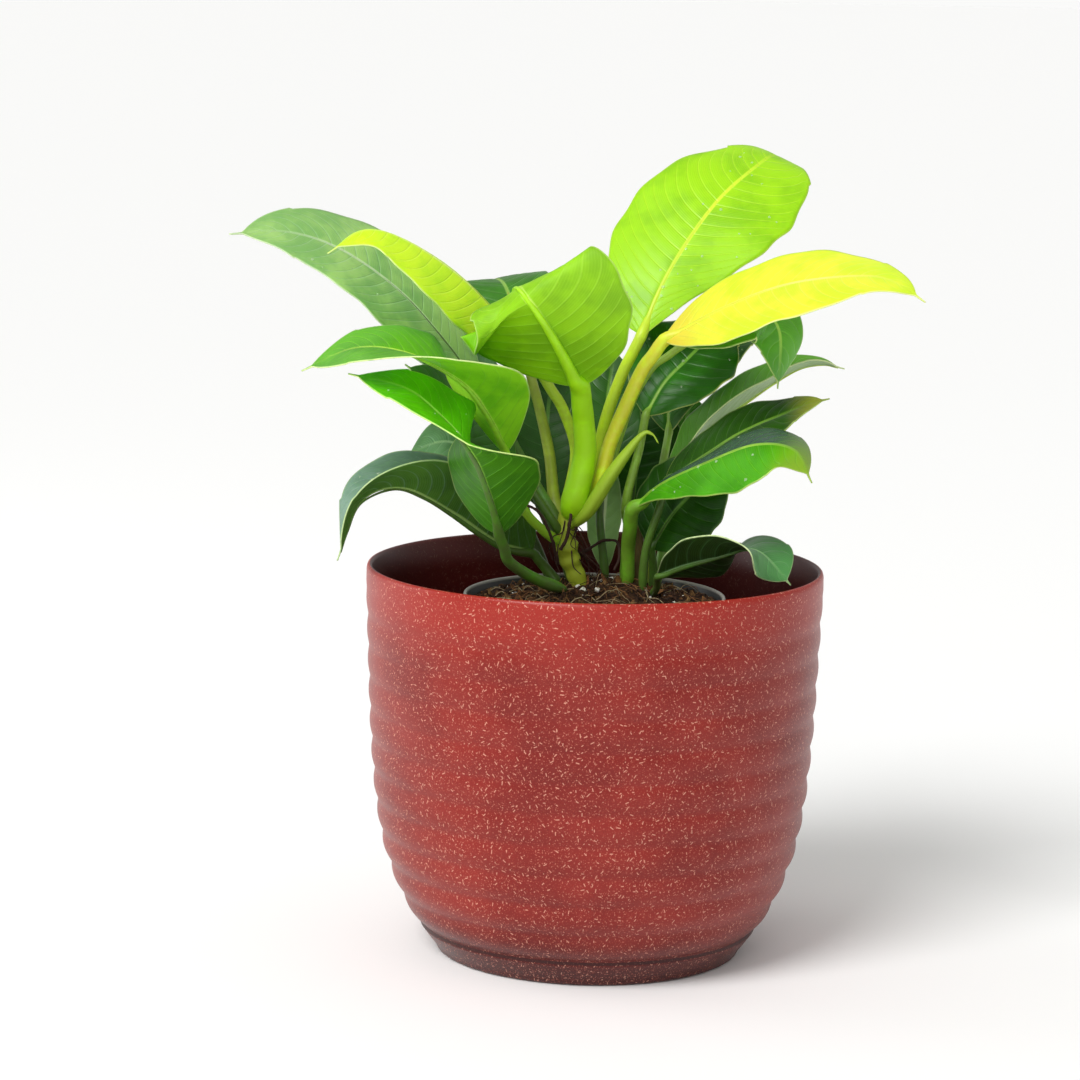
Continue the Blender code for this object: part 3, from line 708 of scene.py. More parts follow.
strandDice = random.Random(5)
bm = bmesh.new()
for number in range(190):
    start = spot(52.0)
    heading = strandDice.uniform(0, math.tau)
    reach = strandDice.uniform(6, 22)
    bend = strandDice.uniform(-0.9, 0.9)
    points = []
    for k in range(5):
        u = k / 4
        x = start.x + reach * u * math.cos(heading + bend * u)
        y = start.y + reach * u * math.sin(heading + bend * u)
        away = math.hypot(x, y)
        if away > 54:
            x, y = x * 54 / away, y * 54 / away
        lift = math.sin(math.pi * u) * reach * strandDice.uniform(0.05, 0.22)
        points.append((x, y, soilHeight(x, y) + lumps(x, y) + lift))
    thick = strandDice.uniform(0.12, 0.32)
    strand = bmesh.new()
    tubeInto(strand, [p * mm for p in smoothPath(points, 9)], lambda t: mm * thick * (1.15 - 0.8 * t), 5)
    bmesh.ops.recalc_face_normals(strand, faces=strand.faces[:])
    for face in strand.faces:
        face.material_index = number % 3
    gather(bm, strand)
finishPiece("SoilStrands", bm, [lumpFinish("Pale strand", "8c7656", "b8a582", 0.7),
                                lumpFinish("Brown strand", "6e4a2e", "96693f", 0.8),
                                lumpFinish("Dark strand", "2c1b12", "4a3020", 0.8)])
print("soil made")


# ---- leaves ----

tipStart = 0.955    # the blade proper ends here, and the drip tip follows
bladeAlong = 96
bladeAcross = 40


def halfWidth(t, half, leaf):
    # a blade that is widest at another place on each side gives the two shares as a pair
    widest = leaf["widest"][half] if isinstance(leaf["widest"], tuple) else leaf["widest"]
    body = 0.0
    if t < tipStart:
        power = math.log(0.5) / math.log(widest)
        body = leaf["width"] / 2 * math.sin(math.pi * (t / tipStart) ** power) ** 0.75
    tail = leaf["width"] * 0.11 * (max(1.0 - t, 0.0) / 0.2) ** 1.7 if t > 0.8 else 0.0
    return math.hypot(body, tail) + 0.22 + 0.9 * (1.0 - t)


def facingAt(t, leaf):
    first, middle, last = [Vector(v).normalized() for v in leaf["face"]]
    return first.lerp(middle, t * 2) if t < 0.5 else middle.lerp(last, t * 2 - 1)


def bladeFrames(leaf):
    # places, directions along and upper-side directions down the rib
    path = smoothPath(leaf["rib"], bladeAlong)
    frames = []
    for i, place in enumerate(path):
        along = (path[min(i + 4, bladeAlong)] - path[max(i - 4, 0)]).normalized()
        facing = facingAt(i / bladeAlong, leaf)
        frames.append((place, along, (facing - facing.dot(along) * along).normalized()))
    return frames


def bladePoint(leaf, frames, i, side):
    # a point of the blade's middle surface, in millimetres, its vein phase and its half width
    t = i / bladeAlong
    place, along, up = frames[i]
    across = along.cross(up)
    half = 1 if side > 0 else 0
    away = abs(side)
    atTip = leaf.get("tipFold", leaf["fold"])[half]
    fold = leaf["fold"][half] + (atTip - leaf["fold"][half]) * t * t * (3 - 2 * t)
    curl = math.radians(leaf["bend"][half]) * away / 2
    chord = away * (math.sin(curl) / curl if abs(curl) > 1e-6 else 1.0)
    turn = math.radians(fold) + curl
    wide = halfWidth(t, half, leaf) * (1 + 0.018 * math.sin(t * 37 + half * 1.3 + leaf["rib"][1][0]))
    veins = max(round(leaf["length"] / 6.5), 6)
    phase = (t - 0.07 * away - 0.10 * away ** 2.4) * veins + half * 0.37
    ripple = leaf["wave"] * math.sin(t * 14.0 + half * 2.0) * away ** 2 * math.sin(math.pi * t)
    puffed = math.sin(math.pi * min(away * 1.05, 1.0)) * math.sin(math.pi * min(t * 1.06, 1))
    quilt = 0.12 * math.cos(math.tau * phase) * puffed
    trough = -0.45 * math.exp(-(away * wide / 1.3) ** 2) * (1 - t)
    rise = math.sin(turn) * chord * wide + ripple - quilt + trough
    spot = place + across * math.copysign(math.cos(turn) * chord * wide, side) + up * rise
    return spot, phase, wide


def bladeFinish(name, look, under):
    # veins, rib and margin are drawn from distances in millimetres kept in the blade's two maps
    finish = Finish(name, Roughness=0.35, Specular_IOR_Level=0.32, Subsurface_Weight=0.15,
                    Subsurface_Radius=(0.6, 1.0, 0.15), Subsurface_Scale=0.0018)
    t, rib, _ = finish.split(finish.surfaceMap("span"))
    phase, margin, _ = finish.split(finish.surfaceMap("net"))
    place = finish.place()
    cloudy = finish.grain(place, 55.0, 3.0)
    fine = finish.grain(place, 1400.0, 2.0, 0.6)
    fromRib = abs(rib)
    nearVein = 0.5 - abs(phase.fraction() - 0.5)
    vein = (nearVein * 6.5).rise(0.75, 0.12) * margin.rise(0.5, 5.0)
    small = ((0.5 - abs((phase * 6.0).fraction() - 0.5)) * 1.08).rise(0.3, 0.05)
    ribLine = fromRib.rise(1.25, 0.55) if not under else fromRib.rise(1.9, 1.0)
    ribLine = ribLine * t.rise(1.0, 0.55)
    shade = look["under"] if under else look["upper"]
    shade2 = look.get("underDeep" if under else "upperDeep", shade)
    body = finish.blend(paint(shade), paint(shade2), cloudy.rise(0.38, 0.66))
    # painted shade: the far half of the upper side is drawn in a darker colour than the near half, as if out
    # of the light
    if "far" in look and not under:
        body = finish.blend(body, paint(look["far"]), rib.rise(1.5, -1.5))
    if "base" in look:
        body = finish.blend(body, paint(look["base"]), t.rise(0.3, 0.02) * 0.8)
    if "tip" in look:
        body = finish.blend(body, paint(look["tip"]), t.rise(0.72, 0.98))
    body = finish.blend(body, paint(look["vein"]), small * 0.12)
    body = finish.blend(body, paint(look["vein"]), vein * look.get("veinShare", 0.35) * 0.6)
    body = finish.blend(body, paint(look["rib"]), ribLine * 0.9)
    body = finish.blend(body, paint(look["margin"]), margin.rise(0.8, 0.25) * 0.4)
    rough = look.get("rough", 0.36) + cloudy * 0.1 + (0.14 if under else 0.0)
    relief = (vein * -1.0 + small * -0.2 + fine * 0.15) if not under else (vein + small * 0.2 + fine * 0.2)
    return finish.wear(body, rough, relief, 0.12 * mm)


def growLeaf(name, own):
    leaf = {**plainLeaf, **own}
    frames = bladeFrames(leaf)
    leaf["length"] = sum((b[0] - a[0]).length for a, b in zip(frames, frames[1:]))
    bm = bmesh.new()
    bmesh.ops.create_grid(bm, x_segments=bladeAlong, y_segments=bladeAcross, size=0.5)
    span = bm.loops.layers.uv.new("span")
    net = bm.loops.layers.uv.new("net")
    maps = {}
    for vert in bm.verts:
        i = round((vert.co.x + 0.5) * bladeAlong)
        raw = -2.0 * vert.co.y
        side = math.copysign(abs(raw) ** 1.35, raw)
        spot, phase, wide = bladePoint(leaf, frames, i, side)
        t = i / bladeAlong
        maps[vert] = ((t, side * wide), (phase, min((1 - abs(side)) * wide, (1 - t) * leaf["length"])))
        vert.co = spot * mm
    for face in bm.faces:
        for loop in face.loops:
            loop[span].uv, loop[net].uv = maps[loop.vert]
    look = leaf["look"]
    rimFinish = Finish(name + " margin", Base_Color=paint(look["margin"]), Roughness=0.4)
    rimGrain = rimFinish.grain(rimFinish.place(), 300.0)
    rimBody = rimFinish.blend(paint(look["margin"]), paint(look["upper"]), rimGrain.rise(0.45, 0.75) * 0.5)
    blade = finishPiece("Leaf_" + name, bm, [bladeFinish(name + " upper side", look, False),
                                             bladeFinish(name + " underside", look, True),
                                             rimFinish.wear(rimBody, 0.36 + rimGrain * 0.1)],
                        ["leaf_" + name])
    solid = blade.modifiers.new("Solidify", "SOLIDIFY")
    solid.thickness = 0.6 * mm
    solid.offset = 0.0
    solid.material_offset = 1
    solid.material_offset_rim = 2

    start, end = leaf["radius"]
    points = [Vector(p) for p in leaf["stalk"][:-1]]
    fromStem = points[0] - stemAxis(points[0].z)
    if points[0].z > 185 and fromStem.xy.length < 16:
        points.insert(0, stemAxis(points[0].z - 9))
    else:
        points.insert(0, points[0] + (points[0] - Vector(leaf["stalk"][1])).normalized() * 3.0)
    points.append((points[-1] + Vector(leaf["rib"][0])) / 2)
    reach = [*points, Vector(leaf["rib"][0])]
    stalkLength = sum((b - a).length for a, b in zip(reach, reach[1:]))
    joint = stalkLength / (stalkLength + leaf["length"])
    for share in (0.0, 0.06, 0.14, 0.24, 0.36, 0.5, 0.64, 0.78, 0.9, 0.97):
        i = round(share * bladeAlong)
        place, along, up = frames[i]
        sunk = 0.62 * end * (1 - share) ** 1.2 * 0.72 + 0.35
        points.append(place - up * sunk * ease(-0.02, 0.06, share))

    def thickness(t):
        if t < joint:
            clasp = 1 + 0.12 * math.exp(-((t / joint - 0.16) / 0.1) ** 2) - 0.45 * math.exp(-t / joint / 0.07)
            return mm * (start + (end - start) * t / joint) * clasp
        share = (t - joint) / (1 - joint)
        return mm * (end * (1 - share) ** 1.2 * (1 - 0.34 * ease(0.0, 0.12, share)) + 0.22)

    bm = bmesh.new()
    tubeInto(bm, [p * mm for p in smoothPath(points, 110)], thickness, 18)
    bmesh.ops.recalc_face_normals(bm, faces=bm.faces[:])
    stalkTint = Finish(name + " stalk", Roughness=0.4, Specular_IOR_Level=0.5, Subsurface_Weight=0.1,
                       Subsurface_Radius=(0.6, 1.0, 0.15), Subsurface_Scale=0.002)
    t, angle, _ = stalkTint.split(stalkTint.surfaceMap("UVMap"))
    streaks = stalkTint.grain(stalkTint.join(t * 5.0, angle * 18.0, 0.0), 1.0, 4.0, 0.6)
    mottled = stalkTint.grain(stalkTint.place(), 130.0, 3.0)
    deep = paint(look.get("stalkDeep", look["stalk"]))
    body = stalkTint.blend(paint(look["stalk"]), deep, streaks.rise(0.4, 0.65))
    body = stalkTint.blend(body, paint(look["rib"]), t.rise(joint * 0.85, joint * 1.1))
    low = t.rise(joint * 0.3, 0.0) * mottled.rise(0.25, 0.6)
    body = stalkTint.blend(body, paint(look.get("foot", "4a4a24")), low * 0.45)
    finishPiece("Stalk_" + name, bm, [stalkTint.wear(body, 0.36 + mottled * 0.12, streaks, 0.08 * mm)],
                ["stalk_" + name])
    grown[name] = (leaf, frames)


# what most leaves share: "fold" and "bend" are degrees for the left and right halves, how far the half rises
# from flat at the rib and how much more it curls by its margin
plainLeaf = {"widest": 0.5, "wave": 1.0, "fold": (5, 5), "bend": (-8, -8), "slot": "leaf_green"}
grown = {}
growLeaf("crown", {
    "stalk": ((-7, 5, 211), (-3, 7, 222), (1, 7, 236), (5, 6, 252), (11, 6, 269), (18, 6, 284)),
    "rib": ((19, 6, 286), (28, 16, 308), (40, 28, 328), (55, 42, 347), (72, 58, 361), (82, 72, 366),
            (87, 86, 358)),
    "face": ((-0.1, -1, 0.3), (-0.1, -0.9, 0.6), (0.3, -0.3, 1)),
    "radius": (3.0, 2.6), "width": 71, "widest": (0.43, 0.6), "fold": (-8, 4), "tipFold": (0, 4),
    "bend": (-10, -6), "slot": "leaf_lime",
    "look": {"upper": "9cd604", "upperDeep": "86c202", "under": "5f9a16", "rib": "dcf43c", "vein": "c0ec30",
             "margin": "c4e05c", "veinShare": 0.5, "stalk": "d6f428", "stalkDeep": "bce018",
             "foot": "b8c83c", "rough": 0.3},
})
growLeaf("yellow", {
    "stalk": ((-1, -4, 213), (2, -8, 222), (5, -8, 236), (11, -9, 252), (19, -10, 271), (28, -12, 285)),
    "rib": ((29, -12, 286), (55, -24, 302), (83, -36, 314), (113, -48, 319), (128, -54, 317),
            (141, -60, 309)),
    "face": ((-0.3, -0.6, 0.7), (0, -0.5, 0.86), (0.2, -0.4, 0.9)),
    "radius": (3.6, 3.0), "width": 56, "fold": (0, 4), "bend": (-10, -10), "slot": "leaf_yellow",
    "look": {"upper": "e6ff2e", "upperDeep": "d2f51a", "under": "c2dd2a", "rib": "f3ff7a", "vein": "f2ff66",
             "margin": "eef7a0", "base": "e8c23c", "veinShare": 0.4, "stalk": "e8ff34",
             "stalkDeep": "d4f020", "foot": "d8a83c", "rough": 0.34},
})
growLeaf("front", {
    "stalk": ((-10, -9, 212), (-6, -14, 233), (-7, -20, 249), (-8, -28, 264)),
    "rib": ((-9, -30, 266), (-18, -46, 284), (-27, -58, 299), (-34, -62, 308), (-38, -50, 311),
            (-42, -28, 300)),
    "face": ((0.1, 0.75, 0.65), (0.2, 0.95, 0.3), (0, -0.2, -1)),
    "radius": (6.0, 4.6), "width": 78, "wave": 0.2, "fold": (0, 0), "tipFold": (22, 15), "bend": (0, 0),
    "slot": "leaf_lime",
    "look": {"upper": "7cc400", "under": "90cc00", "underDeep": "7ab200", "rib": "c2ea5a", "vein": "a8de3c",
             "margin": "d4f08c", "veinShare": 0.45, "stalk": "b6f410", "stalkDeep": "9ce008",
             "foot": "9ccc20", "rough": 0.38},
})
growLeaf("lime", {
    "stalk": ((-13, 10, 209), (-10, 6, 232), (-16, 2, 251), (-27, -3, 269)),
    "rib": ((-28, -4, 271), (-46, -12, 295), (-64, -24, 314), (-87, -38, 330), (-105, -48, 335),
            (-121, -56, 325)),
    "face": ((0.3, -0.5, 0.75), (0.1, -0.6, 0.8), (-0.3, -0.5, 0.8)),
    "radius": (2.8, 2.4), "width": 52, "fold": (-5, -30), "bend": (-10, -15), "slot": "leaf_lime",
    "look": {"upper": "d6ff18", "upperDeep": "c2f608", "under": "9ed414", "rib": "e6ff8a", "vein": "dcff5c",
             "margin": "e4f7a0", "veinShare": 0.4, "stalk": "d4fa30", "stalkDeep": "b8e428",
             "foot": "8a8a3c", "rough": 0.34},
})
growLeaf("long", {
    "stalk": ((-18, 2, 200), (-28, 6, 216), (-40, 12, 236), (-54, 18, 257)),
    "rib": ((-55, 19, 259), (-71, 18, 280), (-92, 15, 303), (-119, 9, 322), (-144, 3, 330), (-169, -4, 329)),
    "face": ((0.3, -0.5, 0.8), (0.3, -0.5, 0.8), (0, -0.5, 0.8)),
    "radius": (2.6, 2.2), "width": 58, "slot": "leaf_grey",
    "look": {"upper": "a2cc70", "upperDeep": "7fb25e", "under": "7fa870", "rib": "c8e0b0", "vein": "a8d09c",
             "margin": "d8e8c0", "veinShare": 0.5, "stalk": "64963c", "stalkDeep": "4c7a2c", "rough": 0.3},
})
growLeaf("tucked", {
    "stalk": ((-21, 7, 196), (-31, 18, 216), (-41, 28, 238)),
    "rib": ((-42, 29, 240), (-60, 36, 263), (-80, 42, 278), (-106, 48, 289)),
    "face": ((0.2, -0.4, 0.9), (0.2, -0.4, 0.9), (0.2, -0.4, 0.9)),
    "radius": (2.2, 2.0), "width": 42, "slot": "leaf_grey",
    "look": {"upper": "6f9d6a", "upperDeep": "5c8a54", "under": "6f9060", "rib": "b0cc9c", "vein": "8fb88a",
             "margin": "c4d8b0", "veinShare": 0.4, "stalk": "4a742c", "rough": 0.32},
})
growLeaf("arched", {
    "stalk": ((-24, -10, 197), (-32, -17, 206), (-38, -22, 218), (-41, -27, 233)),
    "rib": ((-42, -28, 235), (-49, -40, 251), (-61, -53, 269), (-84, -61, 282), (-108, -60, 284),
            (-132, -55, 273)),
    "face": ((-0.3, 0.9, 0.5), (0, 0.15, 1), (0, -0.4, 1)),
    "radius": (2.2, 2.0), "width": 58, "fold": (5, 60), "tipFold": (-5, 5), "bend": (0, 0),
    "look": {"upper": "5fae1c", "upperDeep": "4e9a1a", "under": "9ce022", "underDeep": "78c418",
             "rib": "c8ee60", "vein": "92d83c", "margin": "dcf0a0", "veinShare": 0.4, "stalk": "b0ee30",
             "stalkDeep": "9cdc24", "foot": "7a8a34", "rough": 0.3},
})
growLeaf("vivid", {
    "stalk": ((-16, -12, 171), (-28, -22, 177), (-39, -34, 186), (-44, -43, 197)),
    "rib": ((-44, -44, 200), (-49, -56, 220), (-57, -66, 241), (-71, -70, 257), (-86, -70, 268),
            (-111, -63, 273)),
    "face": ((-0.4, 0.8, 0.4), (0.1, -0.1, 1), (0, -0.45, 0.9)),
    "radius": (2.8, 2.4), "width": 52, "widest": 0.38, "fold": (5, 60), "tipFold": (0, 0), "bend": (0, 0),
    "slot": "leaf_vivid",
    "look": {"upper": "5cc400", "upperDeep": "4cac00", "under": "43840f", "underDeep": "33700c",
             "rib": "a4e05a", "vein": "7cd02c", "margin": "d6f08c", "veinShare": 0.4, "stalk": "5fa024",
             "stalkDeep": "4c8a1c", "foot": "5a2440", "rough": 0.28},
})
growLeaf("drooping", {
    "stalk": ((-18, 9, 171), (-23, 9, 177), (-28, 8, 183)),
    "rib": ((-29, 7, 184), (-46, -1, 190), (-66, -13, 205), (-88, -29, 218), (-106, -40, 213),
            (-116, -45, 187)),
    "face": ((0.3, -0.1, 0.95), (0.3, -0.1, 0.95), (-0.9, 0, 0.3)),
    "radius": (2.6, 2.2), "width": 58, "widest": 0.35, "fold": (88, 45), "tipFold": (20, 20),
    "bend": (0, 0), "slot": "leaf_grey",
    "look": {"upper": "6f8e7a", "upperDeep": "5a7c64", "under": "4c7a20", "underDeep": "3f6a1a",
             "rib": "a4c870", "vein": "84a88c", "margin": "b8d090", "stalk": "4c7a24", "foot": "4a3a24",
             "rough": 0.26},
})
growLeaf("pale", {
    "stalk": ((-20, 22, 168), (-26, 26, 182), (-33, 30, 196)),
    "rib": ((-34, 31, 198), (-50, 38, 218), (-69, 44, 230), (-90, 50, 223)),
    "face": ((0.2, -0.6, 0.8), (0.2, -0.6, 0.8), (0.2, -0.6, 0.8)),
    "radius": (2.2, 2.0), "width": 44, "slot": "leaf_grey",
    "look": {"upper": "5f8f58", "upperDeep": "4c7c44", "under": "567c48", "rib": "9cc088", "vein": "7fa878",
             "margin": "b4cca0", "veinShare": 0.4, "stalk": "486c2c", "rough": 0.34},
})
growLeaf("inner", {
    "stalk": ((-20, -6, 201), (-28, -8, 213), (-38, -9, 225)),
    "rib": ((-38, -10, 227), (-51, -11, 243), (-67, -14, 257), (-88, -19, 273)),
    "face": ((0.3, -0.5, 0.8), (0.3, -0.5, 0.8), (0.3, -0.5, 0.8)),
    "radius": (2.0, 1.8), "width": 40, "slot": "leaf_dark",
    "look": {"upper": "2f6a14", "upperDeep": "265a10", "under": "386414", "rib": "84b04c", "vein": "4c8a2c",
             "margin": "9cbc6c", "stalk": "4c7a24", "rough": 0.32},
})
growLeaf("wavy", {
    "stalk": ((14, 9, 200), (14, 2, 212), (19, 4, 233), (22, 8, 248)),
    "rib": ((22, 9, 249), (30, 14, 263), (40, 20, 273), (50, 28, 282), (63, 38, 292)),
    "face": ((-0.2, -0.75, 0.6), (-0.2, -0.75, 0.6), (-0.2, -0.75, 0.6)),
    "radius": (2.2, 1.9), "width": 48, "wave": 2.5, "fold": (8, 8), "slot": "leaf_dark",
    "look": {"upper": "246a02", "upperDeep": "1a5400", "under": "3c6a18", "rib": "7cb03c", "vein": "4a8c26",
             "margin": "d2dc7c", "stalk": "9ccc44", "rough": 0.26},
})
growLeaf("upper", {
    "stalk": ((24, 25, 168), (26, 28, 190), (30, 36, 214), (33, 43, 232)),
    "rib": ((34, 45, 237), (34, 50, 248), (38, 55, 258), (46, 62, 268), (57, 70, 276), (70, 78, 280),
            (82, 84, 278)),
    "face": ((-0.3, -0.6, 0.7), (-0.3, -0.6, 0.7), (-0.3, -0.6, 0.7)),
    "radius": (2.2, 1.9), "width": 36, "wave": 2.5, "fold": (8, 8), "slot": "leaf_dark",
    "look": {"upper": "2c6a08", "upperDeep": "205604", "under": "426e20", "rib": "84b448", "vein": "54902c",
             "margin": "ccd884", "stalk": "88bc3c", "foot": "6a6a2c", "rough": 0.28},
})
growLeaf("hooked", {
    "stalk": ((2, 2, 214), (5, 0, 222), (10, -1, 240), (16, -2, 258), (24, -3, 272), (36, -3, 282)),
    "rib": ((38, -3, 283), (55, -6, 294), (70, -6, 300), (81, -5, 290), (81, -8, 264)),
    "face": ((-0.4, -0.5, 0.7), (0.1, -0.5, 0.8), (0.9, -0.5, 0.2)),
    "radius": (1.9, 1.7), "width": 40, "fold": (0, 0),
    "look": {"upper": "5aa81c", "upperDeep": "4a9612", "under": "7cb434", "rib": "b4e05c", "vein": "84c83c",
             "margin": "d4e890", "stalk": "a2cc3c", "foot": "7a8a34", "rough": 0.28},
})
growLeaf("slender", {
    "stalk": ((27, 15, 169), (26, 16, 195), (28, 20, 208), (31, 23, 217)),
    "rib": ((34, 24, 221), (43, 25, 230), (51, 27, 240), (60, 29, 247), (74, 32, 257), (91, 34, 268),
            (104, 36, 271), (115, 37, 269)),
    "face": ((-0.7, 0.05, 0.7), (-0.6, 0.06, 0.8), (0, 0.05, 0.8)),
    "radius": (2.2, 1.9), "width": 44, "widest": 0.45, "wave": 0.5, "fold": (28, 14), "bend": (0, 0),
    # the far colour is painted shade: a deeper green on the far half of the upper side
    "look": {"upper": "a8c48c", "upperDeep": "8cae6c", "far": "5ea41c", "under": "93b078",
             "underDeep": "84a468", "rib": "b8d88c", "vein": "8cc04c", "margin": "d0e0a0",
             "stalk": "cce868", "stalkDeep": "b4d450", "foot": "7a7a3c", "rough": 0.3},
})
growLeaf("shaded", {
    "stalk": ((30, 40, 165.5), (33, 48, 185), (36, 58, 202)),
    "rib": ((37, 60, 204), (40, 66, 222), (43, 71, 238), (46, 78, 252)),
    "face": ((-0.2, -0.85, 0.4), (-0.2, -0.85, 0.4), (-0.2, -0.85, 0.4)),
    "radius": (2.2, 1.9), "width": 38,
    "look": {"upper": "4f8a2c", "upperDeep": "3f7822", "under": "5a8434", "rib": "94c060", "vein": "6ca444",
             "margin": "c0d490", "stalk": "7cb83c", "foot": "5a5a2c", "rough": 0.32},
})
growLeaf("glossy", {
    "stalk": ((15, 6, 171.5), (15, 2, 187), (15, -6, 202)),
    "rib": ((16, -11, 208), (28, -22, 221), (48, -34, 233), (69, -46, 243), (86, -54, 242), (94, -58, 228)),
    "face": ((-0.1, -0.45, 0.9), (-0.1, -0.5, 0.9), (0.5, -0.5, 0.6)),
    "radius": (3.2, 3.4), "width": 48, "widest": 0.65, "fold": (-10, -10), "bend": (-15, -10),
    "look": {"upper": "4aa010", "upperDeep": "3c8c0c", "under": "4c8424", "rib": "a8d84c", "vein": "6cba2c",
             # the far colour is a painted reflection: dark blue-grey on the far half of the upper side
             "margin": "c4dc70", "far": "23443a", "tip": "8cb024", "stalk": "84c830", "stalkDeep": "68ac24",
             "foot": "6a6a2c", "rough": 0.2},
})
growLeaf("broad", {
    "stalk": ((27, 7, 169.5), (27, 6, 178), (26, 5, 186)),
    "rib": ((26, 4, 188), (35, 1, 204), (46, -2, 217), (61, -6, 234)),
    "face": ((-0.3, -0.85, 0.4), (-0.3, -0.85, 0.4), (-0.3, -0.85, 0.4)),
    "radius": (2.0, 1.8), "width": 42, "widest": 0.45, "fold": (10, 5), "slot": "leaf_dark",
    "look": {"upper": "245804", "upperDeep": "1a4800", "under": "3a5e14", "rib": "6c9c3c", "vein": "447c1e",
             "margin": "94b05c", "veinShare": 0.3, "stalk": "4c7a24", "rough": 0.3},
})
growLeaf("tapered", {
    "stalk": ((22, -2, 170.5), (23, -5, 188), (28, -8, 206), (32, -8, 217)),
    "rib": ((32, -6, 221), (42, -6, 228), (52, -7, 235), (62, -8, 242), (73, -10, 248), (84, -12, 253),
            (94, -15, 258), (104, -17, 261)),
    "face": ((-0.25, -0.5, 0.85), (-0.25, -0.5, 0.85), (-0.3, -0.5, 0.8)),
    "radius": (2.0, 1.8), "width": 32, "widest": 0.45, "slot": "leaf_dark",
    "look": {"upper": "245202", "upperDeep": "1a4200", "under": "3c6414", "rib": "7ca83c", "vein": "4c841c",
             "margin": "a4bc5c", "tip": "b8b848", "veinShare": 0.3, "stalk": "5a8a2c", "rough": 0.26},
})
growLeaf("low", {
    "stalk": ((27, -8, 169), (28, -17, 173), (28, -27, 178)),
    "rib": ((28, -29, 180), (39, -36, 186), (53, -41, 191), (71, -42, 195), (87, -46, 180)),
    "face": ((-0.4, 0.95, 0.3), (0.1, 0.35, 0.9), (0.4, -0.8, 0.5)),
    "radius": (1.8, 1.6), "width": 50, "widest": 0.6, "wave": 0.5, "bend": (0, 0),
    "look": {"upper": "4f8e4a", "upperDeep": "3f7c3a", "under": "2b4a0c", "underDeep": "243f0a",
             "rib": "9cc888", "vein": "74ac6c", "margin": "d0e0a4", "stalk": "4c7a24", "rough": 0.28},
})
growLeaf("short", {
    "stalk": ((5, 23, 171.5), (5, 27, 173)),
    "rib": ((5, 28, 174), (4, 33, 189), (5, 40, 207), (7, 50, 225)),
    "face": ((0, -0.9, 0.35), (0, -0.9, 0.35), (0, -0.9, 0.35)),
    "radius": (1.8, 1.6), "width": 15, "wave": 0.0, "slot": "leaf_grey",
    "look": {"upper": "8fb86c", "upperDeep": "7fa85c", "under": "84a868", "rib": "d4e4b0", "vein": "a8cc88",
             "margin": "c8dca4", "stalk": "7ca044", "foot": "5a5a2c"},
})
growLeaf("dark", {
    "stalk": ((17, 33, 168), (17, 37, 192)),
    "rib": ((17, 38, 194), (19, 50, 214), (22, 64, 236), (24, 80, 256)),
    "face": ((0, -0.85, 0.5), (0, -0.85, 0.5), (0, -0.85, 0.5)),
    "radius": (2.2, 1.9), "width": 42, "slot": "leaf_dark",
    "look": {"upper": "225406", "upperDeep": "184402", "under": "335a14", "rib": "6c9c3c", "vein": "3f7820",
             "margin": "8cac5c", "veinShare": 0.3, "stalk": "44702a", "rough": 0.32},
})
growLeaf("back", {
    "stalk": ((-19, 11, 207), (-22, 14, 229), (-27, 16, 250), (-32, 24, 268)),
    "rib": ((-33, 26, 270), (-38, 38, 287), (-45, 56, 304), (-53, 86, 302), (-60, 112, 286)),
    "face": ((0, -0.85, 0.5), (-0.2, 0.2, 1), (-0.3, 0.4, 0.8)),
    "radius": (3.0, 2.2), "width": 44, "slot": "leaf_dark",
    "look": {"upper": "3a7a18", "upperDeep": "2e6812", "under": "4a7c24", "rib": "8cb84c", "vein": "5c9830",
             "margin": "a8c474", "veinShare": 0.3, "stalk": "b4c83c", "stalkDeep": "98b034",
             "foot": "6a6a2c", "rough": 0.3},
})
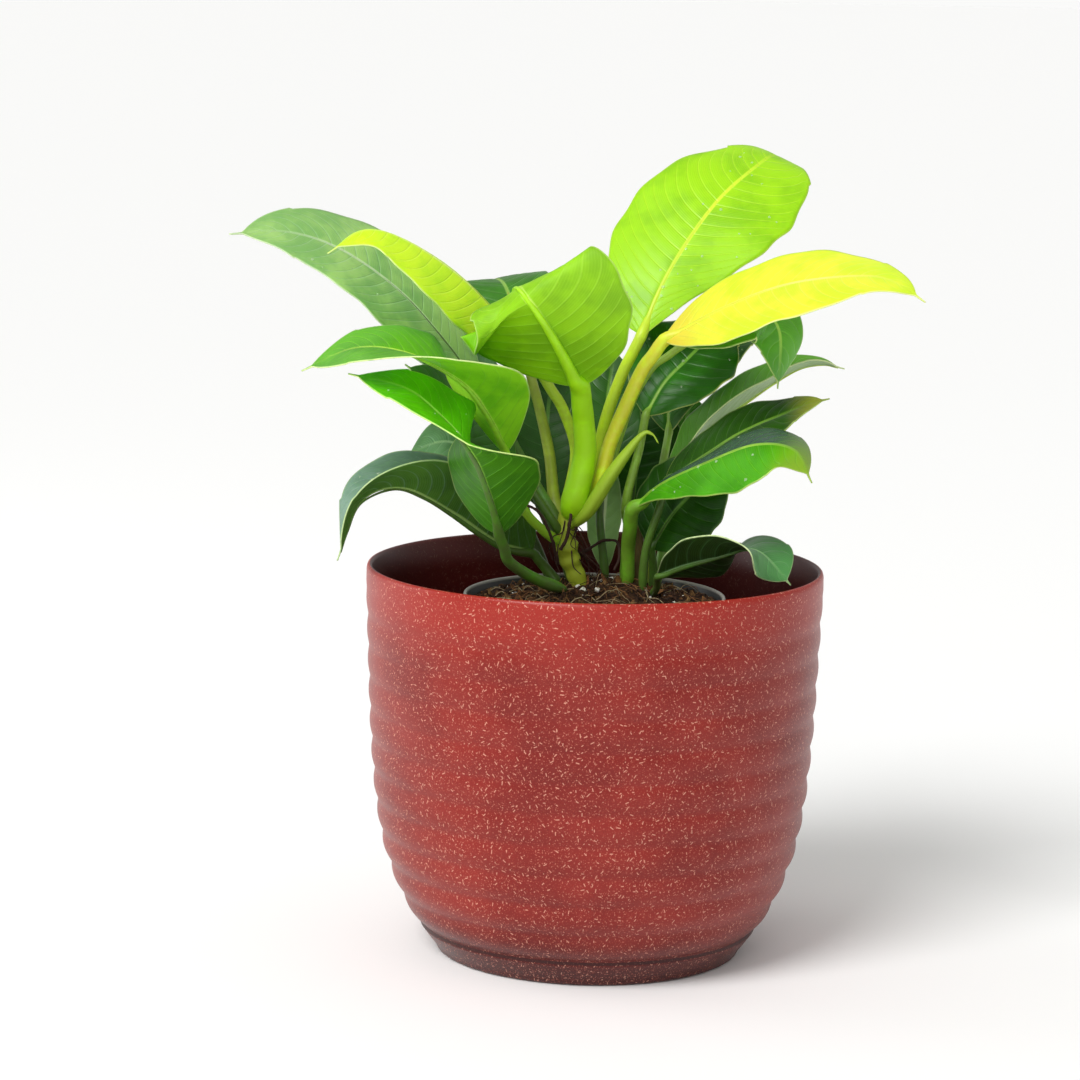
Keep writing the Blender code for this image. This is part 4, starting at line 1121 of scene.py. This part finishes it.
growLeaf("nested", {
    "stalk": ((5, 13, 173), (2, 13, 198), (2, 16, 212)),
    "rib": ((2, 17, 214), (3, 25, 234), (5, 36, 256), (8, 50, 276)),
    "face": ((0, -0.85, 0.45), (0, -0.85, 0.45), (0, -0.85, 0.45)),
    "radius": (2.0, 1.8), "width": 32, "slot": "leaf_dark",
    "look": {"upper": "2c5e14", "upperDeep": "235010", "under": "38601a", "rib": "74a044", "vein": "447c24",
             "margin": "94b064", "veinShare": 0.3, "stalk": "4c7a28", "rough": 0.32},
})
growLeaf("rear", {
    "stalk": ((-11, 15, 171), (-17, 16, 189), (-20, 21, 198)),
    "rib": ((-20, 22, 200), (-23, 33, 222), (-23, 46, 245), (-20, 64, 267)),
    "face": ((0, -0.85, 0.5), (0, -0.85, 0.5), (0, -0.85, 0.5)),
    "radius": (2.2, 1.9), "width": 42, "slot": "leaf_dark",
    "look": {"upper": "2c5c16", "upperDeep": "234e10", "under": "385c1a", "rib": "6c9c40", "vein": "447824",
             "margin": "8cac60", "veinShare": 0.3, "stalk": "4a722a", "rough": 0.32},
})
print("leaves grown")


# ---- dew on the blades ----

dewDice = random.Random(23)
dewy = {"crown": 26, "drooping": 16, "wavy": 12, "upper": 8, "long": 8, "glossy": 8, "vivid": 6}
bm = bmesh.new()
for name, count in dewy.items():
    leaf, frames = grown[name]
    for _ in range(count):
        i = dewDice.randint(10, bladeAlong - 14)
        side = dewDice.uniform(-0.85, 0.85)
        spot = bladePoint(leaf, frames, i, side)[0]
        beyond = bladePoint(leaf, frames, i + 1, side)[0]
        beside = bladePoint(leaf, frames, i, side + 0.02)[0]
        out = (beside - spot).cross(beyond - spot).normalized()
        size = dewDice.uniform(0.35, 1.0)
        made = bmesh.ops.create_uvsphere(bm, u_segments=8, v_segments=6, radius=size * mm)["verts"]
        turn = out.to_track_quat("Z", "Y").to_matrix()
        for vert in made:
            vert.co = turn @ Vector((vert.co.x, vert.co.y, vert.co.z * 0.6)) + (spot + out * 0.35) * mm
# painted highlight: the drops are pale and partly opaque rather than clear, so that they show as small white
# glints
water = Finish("Water", Roughness=0.04, IOR=1.33, Alpha=0.28, Base_Color=paint("e8f8d8"))
shimmer = water.grain(water.place(), 500.0)
finishPiece("Dew", bm, [water.wear(rough=0.02 + shimmer * 0.05)])
print("dew laid")
